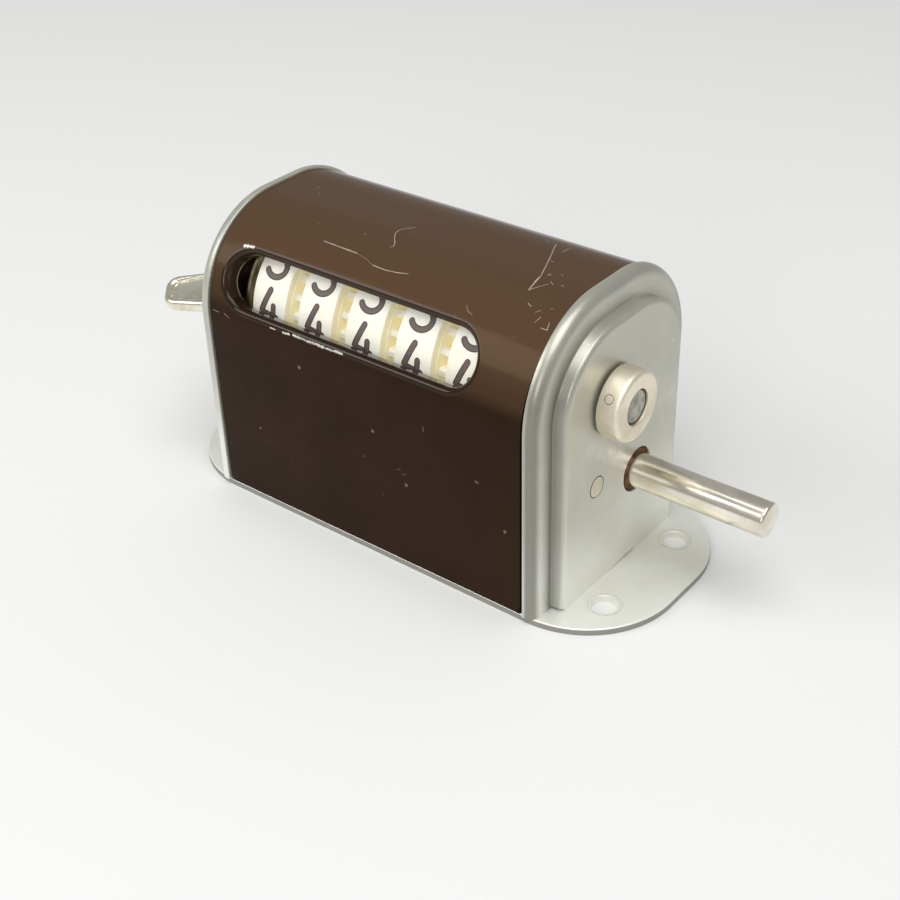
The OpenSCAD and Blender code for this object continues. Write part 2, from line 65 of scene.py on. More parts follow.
def addNode(tree, kind, values=None, **settings):
    node = tree.nodes.new("ShaderNode" + kind)
    for key, value in settings.items():
        setattr(node, key, value)
    for key, value in (values or {}).items():
        feed(tree, node.inputs[key], value)
    return node


def startMaterial(name, finish):
    # a Principled shader with the constants of its dictionary on its own sockets
    material = bpy.data.materials.new(name)
    material.use_nodes = True
    tree = material.node_tree
    shader = tree.nodes["Principled BSDF"].inputs
    for key, value in finish.items():
        shader[key].default_value = value
    return material, tree, shader, addNode(tree, "TexCoord").outputs["Object"]


def finishMaterial(material, shader, values):
    # what the sockets of its Principled shader are fed with
    for key, value in values.items():
        feed(material.node_tree, shader[key], value)
    return material


# Camera and studio

cameraSetup = {
    "place": (0.152382, -0.185062, 0.167798),
    "right": (0.785065, 0.618877, -0.025763),
    "up": (-0.323714, 0.445391, 0.834767),
    "back": (0.528093, -0.647007, 0.550000),
    "lens": 60.084, "clip": (0.01, 20),
}
studio = {
    "backdrop": (0.9, 0.9, 0.9), "worldLight": 0.38, "lampTarget": (0, 0, 0.02),
    "floorHalf": 3.0, "floorZ": -0.00002, "floorColor": (0.82, 0.82, 0.81), "floorRoughness": 0.8,
    "lamps": {  # place, size and power
        "keyLamp": ((0.20, -0.22, 1.00), 0.85, 7.2),
        "fillLamp": ((0.22, -0.62, 0.30), 0.22, 0.7),
        "sideLamp": ((-0.55, -0.62, 0.58), 0.45, 2.6),
    },
}


def addCamera(setup):
    data = bpy.data.cameras.new("photoCamera")
    data.lens = setup["lens"]
    data.clip_start, data.clip_end = setup["clip"]
    camera = addObject("photoCamera", data)
    turn = Matrix((setup["right"], setup["up"], setup["back"])).transposed().to_quaternion()
    camera.matrix_world = Matrix.Translation(setup["place"]) @ turn.to_matrix().to_4x4()
    bpy.context.scene.camera = camera


def addLamp(name, place, size, power, target):
    # a square lamp that faces the target
    data = bpy.data.lights.new(name, "AREA")
    data.shape, data.size, data.energy = "SQUARE", size, power
    lamp = addObject(name, data)
    lamp.location = place
    lamp.rotation_euler = (Vector(place) - Vector(target)).to_track_quat("Z", "Y").to_euler()


def addWorld(backdrop, light):
    # the camera sees the backdrop's colour, everything else is lit by a dimmer white
    world = bpy.data.worlds.new("studioWorld")
    bpy.context.scene.world = world
    world.use_nodes = True
    tree = world.node_tree
    tree.nodes.clear()
    seen = addNode(tree, "Background", {"Color": (*backdrop, 1)}).outputs[0]
    lit = addNode(tree, "Background", {"Color": (1, 1, 1, 1), "Strength": light}).outputs[0]
    fromCamera = addNode(tree, "LightPath").outputs["Is Camera Ray"]
    addNode(tree, "OutputWorld", {0: addNode(tree, "MixShader", {0: fromCamera, 1: lit, 2: seen}).outputs[0]})


def addFloor(setup):
    half, z = setup["floorHalf"], setup["floorZ"]
    mesh = bpy.data.meshes.new("studioFloor")
    mesh.from_pydata([(-half, -half, z), (half, -half, z), (half, half, z), (-half, half, z)], [], [(0, 1, 2, 3)])
    finish = {"Base Color": (*setup["floorColor"], 1), "Roughness": setup["floorRoughness"]}
    mesh.materials.append(startMaterial("palePaper", finish)[0])
    addObject("studioFloor", mesh)


addCamera(cameraSetup)
addWorld(studio["backdrop"], studio["worldLight"])
addFloor(studio)
for lampName, lamp in studio["lamps"].items():
    addLamp(lampName, *lamp, studio["lampTarget"])
bpy.context.scene.view_settings.view_transform = "Standard"
print("camera and studio set")

# Mesh helpers


def gridFaces(rows, columns, closed=False):
    # quads between neighbouring rows and columns of a grid, going round the columns if closed
    row = np.arange(rows - 1)[:, None]
    column = np.arange(columns if closed else columns - 1)[None, :]
    after = (column + 1) % columns
    return np.stack([row * columns + column, row * columns + after,
                     (row + 1) * columns + after, (row + 1) * columns + column], -1).reshape(-1, 4)


def surface(points, closed=False, flip=False, marks=None):
    # a grid of points (rows, columns, 3) as one patch, with an optional value for each point
    rows, columns = points.shape[:2]
    faces = gridFaces(rows, columns, closed)
    return {"points": points.reshape(-1, 3), "faces": faces[:, ::-1] if flip else faces,
            "marks": np.zeros(rows * columns) if marks is None else marks.reshape(-1)}


def strip(first, second, flip=False, marks=None):
    # quads between two lines of points
    return surface(np.stack([first, second]), False, flip, marks)


def raised(flat, height):
    # points of a plane, set at a height
    return np.column_stack([flat, np.full(len(flat), height)])


def flatSheet(loops, height, flip=False):
    # constrained triangles between an outer loop and the holes in it, all in one plane at the given height
    points = np.concatenate(loops)
    starts = np.cumsum([0] + [len(loop) for loop in loops[:-1]])
    edges = [(int(s + i), int(s + (i + 1) % len(loop))) for s, loop in zip(starts, loops) for i in range(len(loop))]
    found = delaunay_2d_cdt([Vector(p) for p in points.tolist()], edges, [], 1, 1e-7)
    flat, faces = np.array(found[0]), np.array(found[2])
    middle = flat[faces].mean(1)
    keep = np.ones(len(faces), bool)
    for hole in loops[1:]:
        centre = hole.mean(0)
        keep &= np.linalg.norm(middle - centre, axis=1) > np.linalg.norm(hole - centre, axis=1).min() * 0.999
    a, b, c = (flat[faces[:, i]] for i in range(3))
    turned = (b[:, 0] - a[:, 0]) * (c[:, 1] - a[:, 1]) - (b[:, 1] - a[:, 1]) * (c[:, 0] - a[:, 0]) < 0
    faces[turned] = faces[turned][:, ::-1]
    faces = faces[keep]
    return {"points": raised(flat, height), "faces": faces[:, ::-1] if flip else faces, "marks": np.zeros(len(flat))}


def addPiece(name, patches, body, finish, replaced=(), sharpAngle=35, outwards=False):
    # patches in millimetres are joined, their seams are merged, and the piece rides on its body
    points = np.concatenate([p["points"] for p in patches]) * mm
    marks = np.concatenate([p["marks"] for p in patches])
    starts = np.cumsum([0] + [len(p["points"]) for p in patches[:-1]])
    faces = [face for p, s in zip(patches, starts) for face in (p["faces"] + s).tolist()]
    mesh = bpy.data.meshes.new(name)
    mesh.from_pydata(points.tolist(), [], faces)
    # the per-point value: painted shade on the right plate, the base's edge, the wheels and the window's lip, the bare
    # cut edge, and the place across a digit's stroke
    mesh.attributes.new("wear_and_shade", "FLOAT", "POINT").data.foreach_set("value", marks.astype(np.float32))
    work = bmesh.new()
    work.from_mesh(mesh)
    bmesh.ops.remove_doubles(work, verts=work.verts, dist=2e-6)
    bmesh.ops.dissolve_degenerate(work, edges=work.edges, dist=1e-7)
    if outwards:
        bmesh.ops.recalc_face_normals(work, faces=work.faces)
    work.to_mesh(mesh)
    work.free()
    mesh.shade_smooth()
    mesh.set_sharp_from_angle(angle=math.radians(sharpAngle))
    mesh.materials.append(materials[finish])
    piece = addObject(name, mesh)
    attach(piece, body)
    if replaced:
        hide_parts(*replaced)


def joined(lines):
    # one array of points from lists and arrays of them
    return np.concatenate([np.array(line, float) for line in lines])


def fullTurn(count):
    return np.linspace(0, 2 * math.pi, count, endpoint=False)


def polar(centre, radius, angle):
    # the two coordinates of points at a radius and an angle from a centre
    return centre[0] + radius * np.cos(angle), centre[1] + radius * np.sin(angle)


def arcOf(centre, radius, start, end, count):
    # points of a circular arc in the plane, angles in degrees
    return np.column_stack(polar(centre, radius, np.radians(np.linspace(start, end, count))))


def circleLoop(centre, radius, count=64):
    return arcOf(centre, radius, 0, 360 - 360 / count, count)


def lathe(lines, axis, around=128, flip=True):
    # lines of (x, radius) points, joined and carried round the axis that runs along x through axis = (y, z)
    profile, angle = joined(lines), fullTurn(around)
    return surface(np.stack([profile[:, :1] + 0 * angle, *polar(axis, profile[:, 1:], angle)], -1), True, flip)


def roundedLoop(halfX, halfY, radius, straight, bend):
    # rounded rectangle, counter-clockwise: the corner centres and the outward directions, point by point
    centres, normals = [], []
    for turn, (sx, sy) in enumerate([(1, 1), (-1, 1), (-1, -1), (1, -1)]):
        angle = np.radians(90 * turn + np.linspace(0, 90, bend))
        normal = np.column_stack([np.cos(angle), np.sin(angle)])
        corner = np.array([sx * (halfX - radius), sy * (halfY - radius)])
        after = np.array([[-1, 1], [-1, -1], [1, -1], [1, 1]][turn]) * (halfX - radius, halfY - radius)
        share = np.linspace(0, 1, straight + 2)[1:-1][:, None]
        centres += [np.repeat(corner[None], bend, 0), corner + share * (after - corner)]
        normals += [normal, np.repeat(normal[-1:], straight, 0)]
    return np.concatenate(centres), np.concatenate(normals)


# Shader helpers and shared node groups


def maths(tree, kind, a, b):
    return addNode(tree, "Math", {0: a, 1: b}, operation=kind).outputs[0]


def times(tree, a, b):
    return maths(tree, "MULTIPLY", a, b)


def ramp(tree, value, low, high, toLow, toHigh, curve="LINEAR"):
    # low to high is carried to toLow to toHigh, and held at both ends
    values = {"Value": value, "From Min": low, "From Max": high, "To Min": toLow, "To Max": toHigh}
    return addNode(tree, "MapRange", values, interpolation_type=curve).outputs[0]


def stepped(tree, value, low, high, most=1.0):
    # smooth step: 0 at low, most at high
    return ramp(tree, value, low, high, 0.0, most, "SMOOTHSTEP")


def scaled(tree, vector, scale, turn=(0, 0, 0), shift=(0, 0, 0)):
    values = {"Vector": vector, "Location": shift, "Rotation": turn, "Scale": scale}
    return addNode(tree, "Mapping", values).outputs[0]


def noise(tree, vector, scale, detail, roughness=0.5):
    values = {"Vector": vector, "Scale": scale, "Detail": detail, "Roughness": roughness}
    return addNode(tree, "TexNoise", values).outputs


def blend(tree, share, first, second):
    # first colour where share is 0, second where it is 1
    colors = [c if isinstance(c, bpy.types.NodeSocket) else (*c, 1) for c in (first, second)]
    return addNode(tree, "Mix", {0: share, 6: colors[0], 7: colors[1]}, data_type="RGBA").outputs[2]


def bump(tree, height, strength, distance):
    return addNode(tree, "Bump", {"Height": height, "Strength": strength, "Distance": distance}).outputs[0]


# the per-point attribute: painted shade on some pieces, wear on others
def wearAndShadeOf(tree):
    return addNode(tree, "Attribute", attribute_name="wear_and_shade").outputs["Fac"]


def heightOf(tree, place):
    return addNode(tree, "SeparateXYZ", {"Vector": place}).outputs[2]


def startGroup(name, numbers, output):
    # a group that takes a place and some numbers, and gives one value
    group = bpy.data.node_groups.new(name, "ShaderNodeTree")
    group.interface.new_socket("Vector", in_out="INPUT", socket_type="NodeSocketVector")
    for label, value in numbers.items():
        group.interface.new_socket(label, in_out="INPUT", socket_type="NodeSocketFloat").default_value = value
    group.interface.new_socket(output, in_out="OUTPUT", socket_type="NodeSocketFloat")
    return group, group.nodes.new("NodeGroupInput").outputs, group.nodes.new("NodeGroupOutput").inputs[0]


def makeToneGroup():
    # soft patches of tone: cloudy noise, drawn apart about its middle by the contrast
    group, given, result = startGroup("toneClouds", {"Scale": 60.0, "Contrast": 0.3}, "Tone")
    low, high = (maths(group, kind, 0.5, given["Contrast"]) for kind in ("SUBTRACT", "ADD"))
    clouds = noise(group, given["Vector"], given["Scale"], 5.0, 0.6)["Fac"]
    group.links.new(stepped(group, clouds, low, high), result)
    return group


def makeScratchGroup():
    # thin lines along the borders of cells that a noise has bent, kept only in a few patches
    group, given, result = startGroup("fineScratches", {"Scale": 120.0, "Width": 0.01, "Amount": 0.3}, "Mask")
    bend = noise(group, given["Vector"], 90.0, 2.0)["Color"]
    moved = addNode(group, "VectorMath", {0: bend, 1: (0.006, 0.006, 0.006)}, operation="MULTIPLY").outputs[0]
    path = addNode(group, "VectorMath", {0: given["Vector"], 1: moved}, operation="ADD").outputs[0]
    cells = addNode(group, "TexVoronoi", {"Vector": path, "Scale": given["Scale"]}, feature="DISTANCE_TO_EDGE")
    line = ramp(group, cells.outputs["Distance"], 0.0, given["Width"], 1.0, 0.0)
    limit = maths(group, "SUBTRACT", 0.75, given["Amount"])
    patch = noise(group, given["Vector"], 140.0, 3.0, 0.65)["Fac"]
    kept = stepped(group, patch, limit, maths(group, "ADD", limit, 0.06))
    group.links.new(times(group, line, kept), result)
    return group


def makeSpeckGroup():
    # scattered small specks: the middle of some cells, by each cell's own random number
    group, given, result = startGroup("scatteredSpecks", {"Scale": 300.0, "Size": 0.2, "Share": 0.1}, "Mask")
    cells = addNode(group, "TexVoronoi", {"Vector": given["Vector"], "Scale": given["Scale"]}, feature="F1").outputs
    chance = addNode(group, "SeparateColor", {"Color": cells["Color"]}).outputs[0]
    some = maths(group, "LESS_THAN", chance, given["Share"])
    spot = ramp(group, cells["Distance"], 0.0, given["Size"], 1.0, 0.0)
    group.links.new(times(group, stepped(group, spot, 0.2, 0.7), some), result)
    return group


def makeGrainGroup():
    # fine grain: plain noise, drawn out where the place given to it is squeezed along one direction
    group, given, result = startGroup("metalGrain", {"Scale": 900.0}, "Height")
    group.links.new(noise(group, given["Vector"], given["Scale"], 3.0, 0.6)["Fac"], result)
    return group


sharedEffects = {"tone": makeToneGroup(), "scratch": makeScratchGroup(), "speck": makeSpeckGroup(),
                 "grain": makeGrainGroup()}


def effect(tree, name, place, *numbers):
    # one of the shared groups at a place, its numbers in the order of its sockets
    return addNode(tree, "Group", dict(enumerate((place, *numbers))), node_tree=sharedEffects[name]).outputs[0]


print("shared node groups built")

# Finishes

enamelLook = {
    # the lip colour is painted shade on the window's roll and recessed wall
    "dark": (0.016, 0.0062, 0.0022), "light": (0.024, 0.0105, 0.0046), "lip": (0.014, 0.0065, 0.003),
    # the shoulder and top colours over the heights in rise are painted light, a painted reflection that makes the upper
    # case paler
    "shoulder": (0.046, 0.024, 0.012), "top": (0.086, 0.049, 0.027), "rise": (0.0395, 0.0435, 0.051),
    "scratch": (0.30, 0.22, 0.16), "bare": (0.78, 0.75, 0.68), "gloss": 0.4,
    "surface": {"IOR": 1.22, "Specular IOR Level": 0.4, "Specular Tint": (1.0, 0.72, 0.5, 1.0)},
}


def makeEnamel(look):
    # brown enamel in two tones, with painted light: paler by height over the shoulders and on top, a painted
    # reflection; with scratches and specks;
    # where the attribute is 1 the glossy lip of the window is darkened by painted shade, at 2 its bare cut edge shows
    material, tree, shader, place = startMaterial("brownEnamel", look["surface"])
    height, wear_and_shade, (low, middle, high) = heightOf(tree, place), wearAndShadeOf(tree), look["rise"]
    color = blend(tree, effect(tree, "tone", place, 45.0, 0.25), look["dark"], look["light"])
    # painted light: paler by height over the shoulders and on top
    color = blend(tree, stepped(tree, height, low, middle), color, look["shoulder"])
    color = blend(tree, stepped(tree, height, low, high), color, look["top"])
    scratch = effect(tree, "scratch", scaled(tree, place, (1, 1, 1.6), (0.4, 0.3, 0.2)), 75.0, 0.012, 0.13)
    marks = maths(tree, "MAXIMUM", scratch, effect(tree, "speck", place, 420.0, 0.25, 0.03))
    color = blend(tree, times(tree, marks, 0.6), color, look["scratch"])
    # painted shade: the window's roll and wall are darkened
    color = blend(tree, stepped(tree, wear_and_shade, 0.0, 1.0, 0.8), color, look["lip"])
    cut = stepped(tree, wear_and_shade, 1.2, 1.6)
    return finishMaterial(material, shader, {
        "Base Color": blend(tree, cut, color, look["bare"]),
        "Metallic": cut,
        "Roughness": ramp(tree, marks, 0.0, 1.0, 0.13, 0.42),
        "Coat Weight": ramp(tree, wear_and_shade, 0.0, 1.0, 0.0, look["gloss"]),
        "Normal": bump(tree, noise(tree, place, 260.0, 2.0)["Fac"], 0.05, 0.0004),
    })


zincLook = {
    "base": (0.64, 0.65, 0.60), "shade": (0.52, 0.53, 0.49), "yellow": (0.68, 0.64, 0.48),
    "mark": (0.80, 0.80, 0.76), "shadeTone": (0.20, 0.19, 0.165),
    # low, high and rise give painted light by height: paler near the foot, darker near the top
    "low": (0.93, 0.94, 0.88), "high": (0.45, 0.455, 0.42), "rise": (0.005, 0.026, 0.046),
}


def makeZinc(name, look, metallic):
    # zinc plate in two tones, with painted light: paler towards the foot and darker towards the top by height, stained
    # and scratched;
    # where the attribute is 1 it takes a painted shade
    material, tree, shader, place = startMaterial(name, {"Metallic": metallic})
    height, (low, middle, high) = heightOf(tree, place), look["rise"]
    tone = effect(tree, "tone", place, 70.0, 0.22)
    color = blend(tree, tone, look["shade"], look["base"])
    # painted light: paler low down and darker high up
    color = blend(tree, stepped(tree, height, middle, low, 0.9), color, look["low"])
    color = blend(tree, stepped(tree, height, middle, high, 0.8), color, look["high"])
    stain = effect(tree, "tone", scaled(tree, place, (1, 1, 1), shift=(3, 1, 2)), 38.0, 0.12)
    color = blend(tree, times(tree, stain, 0.35), color, look["yellow"])
    scratch = effect(tree, "scratch", place, 95.0, 0.012, 0.17)
    color = blend(tree, times(tree, scratch, 0.6), color, look["mark"])
    grain = effect(tree, "grain", scaled(tree, place, (1, 1, 0.12)), 1500.0)
    return finishMaterial(material, shader, {
        # painted shade where the attribute is set
        "Base Color": blend(tree, wearAndShadeOf(tree), color, look["shadeTone"]),
        "Roughness": ramp(tree, tone, 0.0, 1.0, 0.42, 0.33),
        "Normal": bump(tree, grain, 0.10, 0.0001),
    })


def makeMetal(name, base, dark, rough, stretch=(1, 1, 1), grainScale=1200.0, grainBump=0.12, toneScale=120.0):
    # bare or plated metal in two tones, with a directional grain
    material, tree, shader, place = startMaterial(name, {"Metallic": 1.0})
    tone = effect(tree, "tone", place, toneScale, 0.2)
    grain = effect(tree, "grain", scaled(tree, place, stretch), grainScale)
    return finishMaterial(material, shader, {
        "Base Color": blend(tree, tone, dark, base),
        "Roughness": ramp(tree, tone, 0.0, 1.0, rough[1], rough[0]),
        "Normal": bump(tree, grain, grainBump, 0.0001),
    })


ivoryLook = {
    "base": (0.93, 0.91, 0.83), "deep": (0.90, 0.86, 0.70), "recessShade": (0.93, 0.84, 0.48),
    # the faint warm emission is painted light: it makes the drums glow in the window's shade
    "surface": {"Roughness": 0.33, "Emission Color": (1.0, 0.96, 0.84, 1.0), "Emission Strength": 0.10,
                "Subsurface Weight": 0.25, "Subsurface Radius": (0.6, 0.5, 0.3), "Subsurface Scale": 0.0015},
}


def makeIvory(look):
    # ivory plastic in two tones, with a faint emission as painted light; where the attribute is 1, the depth between
    # teeth and the walls take a warm painted shade
    material, tree, shader, place = startMaterial("ivoryPlastic", look["surface"])
    color = blend(tree, effect(tree, "tone", place, 90.0, 0.3), look["deep"], look["base"])
    return finishMaterial(material, shader, {
        "Base Color": blend(tree, wearAndShadeOf(tree), color, look["recessShade"]),
        "Normal": bump(tree, noise(tree, place, 1800.0, 2.0)["Fac"], 0.04, 0.0001),
    })


inkLook = {"core": (0.150, 0.108, 0.094), "edge": (0.035, 0.028, 0.026)}


def makeInk(look):
    # printed digits: a paler core and a dark edge, by the distance across the stroke
    material, tree, shader, place = startMaterial("digitInk", {"Roughness": 0.5})
    grain = times(tree, noise(tree, place, 700.0, 3.0)["Fac"], 0.35)
    edge = stepped(tree, maths(tree, "ADD", grain, wearAndShadeOf(tree)), 0.72, 1.02)
    return finishMaterial(material, shader, {"Base Color": blend(tree, edge, look["core"], look["edge"])})


def makeWorn(name, color, metallic, roughness):
    # bare or scuffed spots, uneven in tone
    material, tree, shader, place = startMaterial(name, {"Metallic": metallic, "Roughness": roughness})
    tone = effect(tree, "tone", place, 600.0, 0.2)
    return finishMaterial(material, shader, {"Base Color": blend(tree, tone, [c * 0.5 for c in color], color)})


materials = {
    "enamel": makeEnamel(enamelLook),
    "zinc_plate": makeZinc("zincPlate", zincLook, 0.62),
    "zinc_base": makeZinc("zincBase", zincLook, 0.4),
    "wheel_plastic": makeIvory(ivoryLook),
    "digit_ink": makeInk(inkLook),
    "outline": startMaterial("grooveShade", {"Base Color": (0.05, 0.04, 0.032, 1.0), "Roughness": 0.7})[0],
    "worn_bare": makeWorn("bareSpots", (0.88, 0.86, 0.80), 0.5, 0.4),
    "worn_pale": makeWorn("paleScratches", (0.50, 0.41, 0.33), 0.0, 0.6),
    "rust": makeMetal("rustedRing", (0.22, 0.105, 0.04), (0.06, 0.03, 0.015), (0.5, 0.7), toneScale=500.0),
    "bore_steel": makeMetal("boreSteel", (0.52, 0.50, 0.44), (0.26, 0.25, 0.22), (0.3, 0.45), toneScale=600.0),
    "end_disc": makeMetal("oiledDisc", (0.66, 0.60, 0.44), (0.22, 0.19, 0.13), (0.25, 0.4), toneScale=420.0),
    "ground_steel": makeMetal("groundSteel", (0.96, 0.91, 0.81), (0.74, 0.68, 0.57), (0.14, 0.26), (0.15, 1, 1)),
    "plain_steel": makeMetal("plainSteel", (0.45, 0.45, 0.43), (0.33, 0.33, 0.32), (0.3, 0.45)),
    "spring_steel": makeMetal("springSteel", (0.30, 0.29, 0.28), (0.22, 0.20, 0.18), (0.3, 0.4)),
    "bronze": makeMetal("oiledBronze", (0.50, 0.33, 0.17), (0.36, 0.23, 0.12), (0.38, 0.5)),
    "brass": makeMetal("cutBrass", (0.70, 0.55, 0.28), (0.58, 0.44, 0.22), (0.25, 0.38)),
    "die_cast": makeMetal("dieCastAlloy", (0.94, 0.88, 0.73), (0.72, 0.66, 0.53), (0.5, 0.62),
                          grainScale=700.0, grainBump=0.25),
    "handle_plating": makeMetal("handlePlating", (0.98, 0.95, 0.83), (0.72, 0.66, 0.52), (0.16, 0.30),
                                grainScale=500.0, grainBump=0.3, toneScale=260.0),
}
rusted = ("shaft_ring", "drive_bushing")
slotOf = {p["node"]: p["material_slot"] for p in frame["record"]["subparts"]}
for nodeName, node in frame["nodes"].items():
    node.data.materials.clear()
    node.data.materials.append(materials["rust" if nodeName in rusted else slotOf[nodeName]])
print("finishes built")

# Cover: one bent sheet with the sight window

caseShape = {"halfDepth": 22.5, "radius": 18.6, "shoulderZ": 37.65, "low": 1.3}
coverShape = {
    "left": -36.25, "right": 34.8, "thickness": 0.8,
    "windowX": -4.8, "windowLength": 58.4, "windowArc": 12.98, "windowAngle": 27.4,
    "rollRadius": 1.0, "wallLean": 3.0, "lipDepth": 3.4, "edgeRadius": 0.18, "bareEnd": -0.55,
    "across": 44, "along": 90, "bend": 40,
    "play": 0.05, "leftGap": 0.3, "rightGap": 0.65, "setIn": 0.5, "reachIn": 0.5, "reachOut": 1.5,
}


def sectionLength(shape=caseShape):
    # lengths along the case outline: the front, a quarter circle, and the whole way from foot to foot
    front, quarter = shape["shoulderZ"] - shape["low"], shape["radius"] * math.pi / 2
    return front, quarter, 2 * (front + quarter + shape["halfDepth"] - shape["radius"])


def caseSection(distance, out, shape=caseShape):
    # point on the case outline at a distance from the front foot, moved outwards:
    # up the front, a quarter circle, the flat top, a quarter circle, down the back
    front, quarter = sectionLength(shape)[:2]
    radius, half = shape["radius"], shape["halfDepth"] - shape["radius"]
    a = np.clip((distance - front) / radius, 0, math.pi / 2)
    b = np.clip((distance - front - quarter - 2 * half) / radius, 0, math.pi / 2)
    top = np.clip(distance - front - quarter, 0, 2 * half)
    down = np.maximum(distance - front - 2 * quarter - 2 * half, 0)
    y = -half - radius * np.cos(a) + top + radius * np.sin(b)
    z = shape["low"] + np.minimum(distance, front) + radius * np.sin(a) - radius * (1 - np.cos(b)) - down
    return y - out * np.cos(a + b), z + out * np.sin(a + b)


def sheetEnds(shape, distance):
    # where the sheet ends along the case: the gap to the rims closes over the shoulders
    front, quarter = sectionLength()[:2]
    share = np.clip((front + 0.75 * quarter - distance) / (0.9 * quarter), 0, 1)
    gap = share * share * (3 - 2 * share)
    play = shape["play"]
    return shape["left"] + play + shape["leftGap"] * gap, shape["right"] - play - shape["rightGap"] * gap


def coverPatches(shape):
    # grid lines run from the sheet's ends to the window, round its roll, in along its wall and back underneath
    front, whole = sectionLength()[::2]
    centreAngle = math.radians(shape["windowAngle"])
    middle = front + centreAngle * caseShape["radius"]
    top, halfW = whole / 2, shape["windowArc"] / 2
    halfL = shape["windowLength"] / 2 - halfW
    n, m = shape["along"], shape["bend"]
    # once round the window: along the top edge, down the right end, back along the lower edge, up the left end
    even, bend, zeros = np.linspace(0, 1, n), np.linspace(0, 1, m + 2)[1:-1], np.zeros
    centreX = np.concatenate([halfL * (2 * even - 1), zeros(m) + halfL, halfL * (1 - 2 * even), zeros(m) - halfL])
    turn = np.concatenate([zeros(n) + 90, 90 - 180 * bend, zeros(n) - 90, -90 - 180 * bend])
    nx, ns = np.cos(np.radians(turn)), np.sin(np.radians(turn))
    outerS = np.concatenate([zeros(n) + top, top * (1 - bend), zeros(n), top * bend])
    low, high = sheetEnds(shape, outerS)
    outerX = np.concatenate([low[:n] + (high - low)[:n] * even, high[n:n + m],
                             high[n + m:2 * n + m] - (high - low)[n + m:2 * n + m] * even, low[2 * n + m:]])
    startX, startS = shape["windowX"] + centreX + halfW * nx, middle + halfW * ns
    # frame at every point of the roll's start: e1 away from the window, e2 into the case
    angle = (startS - front) / caseShape["radius"]
    startY, startZ = caseSection(startS, 0)
    e1 = np.stack([nx, ns * np.sin(angle), ns * np.cos(angle)], -1)
    e2 = np.stack([0 * nx, np.cos(angle), -np.sin(angle)], -1)
    # the wall runs straight in along the middle of the window, so its angle to the sheet changes round the edge
    drift = np.arcsin(ns * np.sin(angle - centreAngle))
    stop = (math.pi / 2 - math.radians(shape["wallLean"]) + drift)[None, :]
    roll, depth, t, rim = shape["rollRadius"], shape["lipDepth"], shape["thickness"], shape["edgeRadius"]
    share = np.linspace(0, 1, 14)[:, None]
    rollOut = np.stack([-roll * np.sin(share * stop), roll - roll * np.cos(share * stop)], -1)
    rollIn = np.stack([-(roll - t) * np.sin(share * stop), roll - (roll - t) * np.cos(share * stop)], -1)[::-1]
    along = np.stack([-np.cos(stop), np.sin(stop)], -1)
    through = np.stack([np.sin(stop), np.cos(stop)], -1)
    wall = ((depth - rollOut[-1, :, 1]) / np.sin(stop[0]))[None, :, None]
    wallRows = rollOut[-1:] + along * wall * np.linspace(0, 1, 6)[1:-1][:, None, None]
    foot = rollOut[-1:] + along * wall
    edge = []
    for centre, first in ((foot - rim * along + rim * through, 0), (foot - rim * along + (t - rim) * through, 90)):
        for a in np.radians(np.linspace(first, first + 90, 6)):
            edge.append(centre - through * rim * math.cos(a) + along * rim * math.sin(a))
    lip = np.concatenate([rollOut, wallRows] + edge + [rollIn])
    turned = np.stack([startX, startY, startZ], -1) + lip[..., :1] * e1 + lip[..., 1:] * e2
    far = (np.linspace(1, 0, shape["across"] + 1)[:-1] ** 1.25)[:, None]
    x, s = (1 - far) * startX + far * outerX, (1 - far) * startS + far * outerS
    sheets = [np.stack([x, *caseSection(s, out)], -1) for out in (0, -t)]
    # 1 on the roll and its wall, which the enamel makes glossy and darkens with painted shade, 2 on the cut edge at the
    # left end, where the paint is off
    wallEnd = len(far) + len(rollOut) + len(wallRows)
    gloss = np.zeros((2 * len(far) + len(lip), len(startX)))
    gloss[len(far):wallEnd] = 1
    gloss[wallEnd:wallEnd + len(edge)] = 1 + (nx < shape["bareEnd"])
    patches = [surface(np.concatenate([sheets[0], turned, sheets[1][::-1]]), True, True, gloss)]
    rows = np.linspace(top, whole, 90)[:, None]
    low, high = sheetEnds(shape, rows)
    column = low + (high - low) * even
    for out, flip in ((0, False), (-t, True)):
        patches.append(surface(np.stack([column, *caseSection(rows + 0 * column, out)], -1), False, flip))
    # cut ends of the sheet, then the narrower ends that reach into the rims
    line = np.linspace(0, whole, 260)
    low, high = sheetEnds(shape, line)
    for x, flip in ((low, False), (high, True)):
        ends = [np.column_stack([x, *caseSection(line, out)]) for out in (0, -t)]
        patches.append(strip(ends[0], ends[1], flip))
    over, under = shape["reachIn"], shape["reachOut"]
    outer, inner = -shape["setIn"], -shape["setIn"] - t
    for x0, x1 in ((shape["left"] - over, shape["left"] + under), (shape["right"] - under, shape["right"] + over)):
        rings = [np.column_stack([np.full(len(line), x), *caseSection(line, out)])
                 for out, x in ((outer, x0), (outer, x1), (inner, x1), (inner, x0))]
        patches.append(surface(np.stack(rings + rings[:1]), False, True))
    return patches


# End plates: pressed sheet with a rim round the cover, a ledge and a raised field

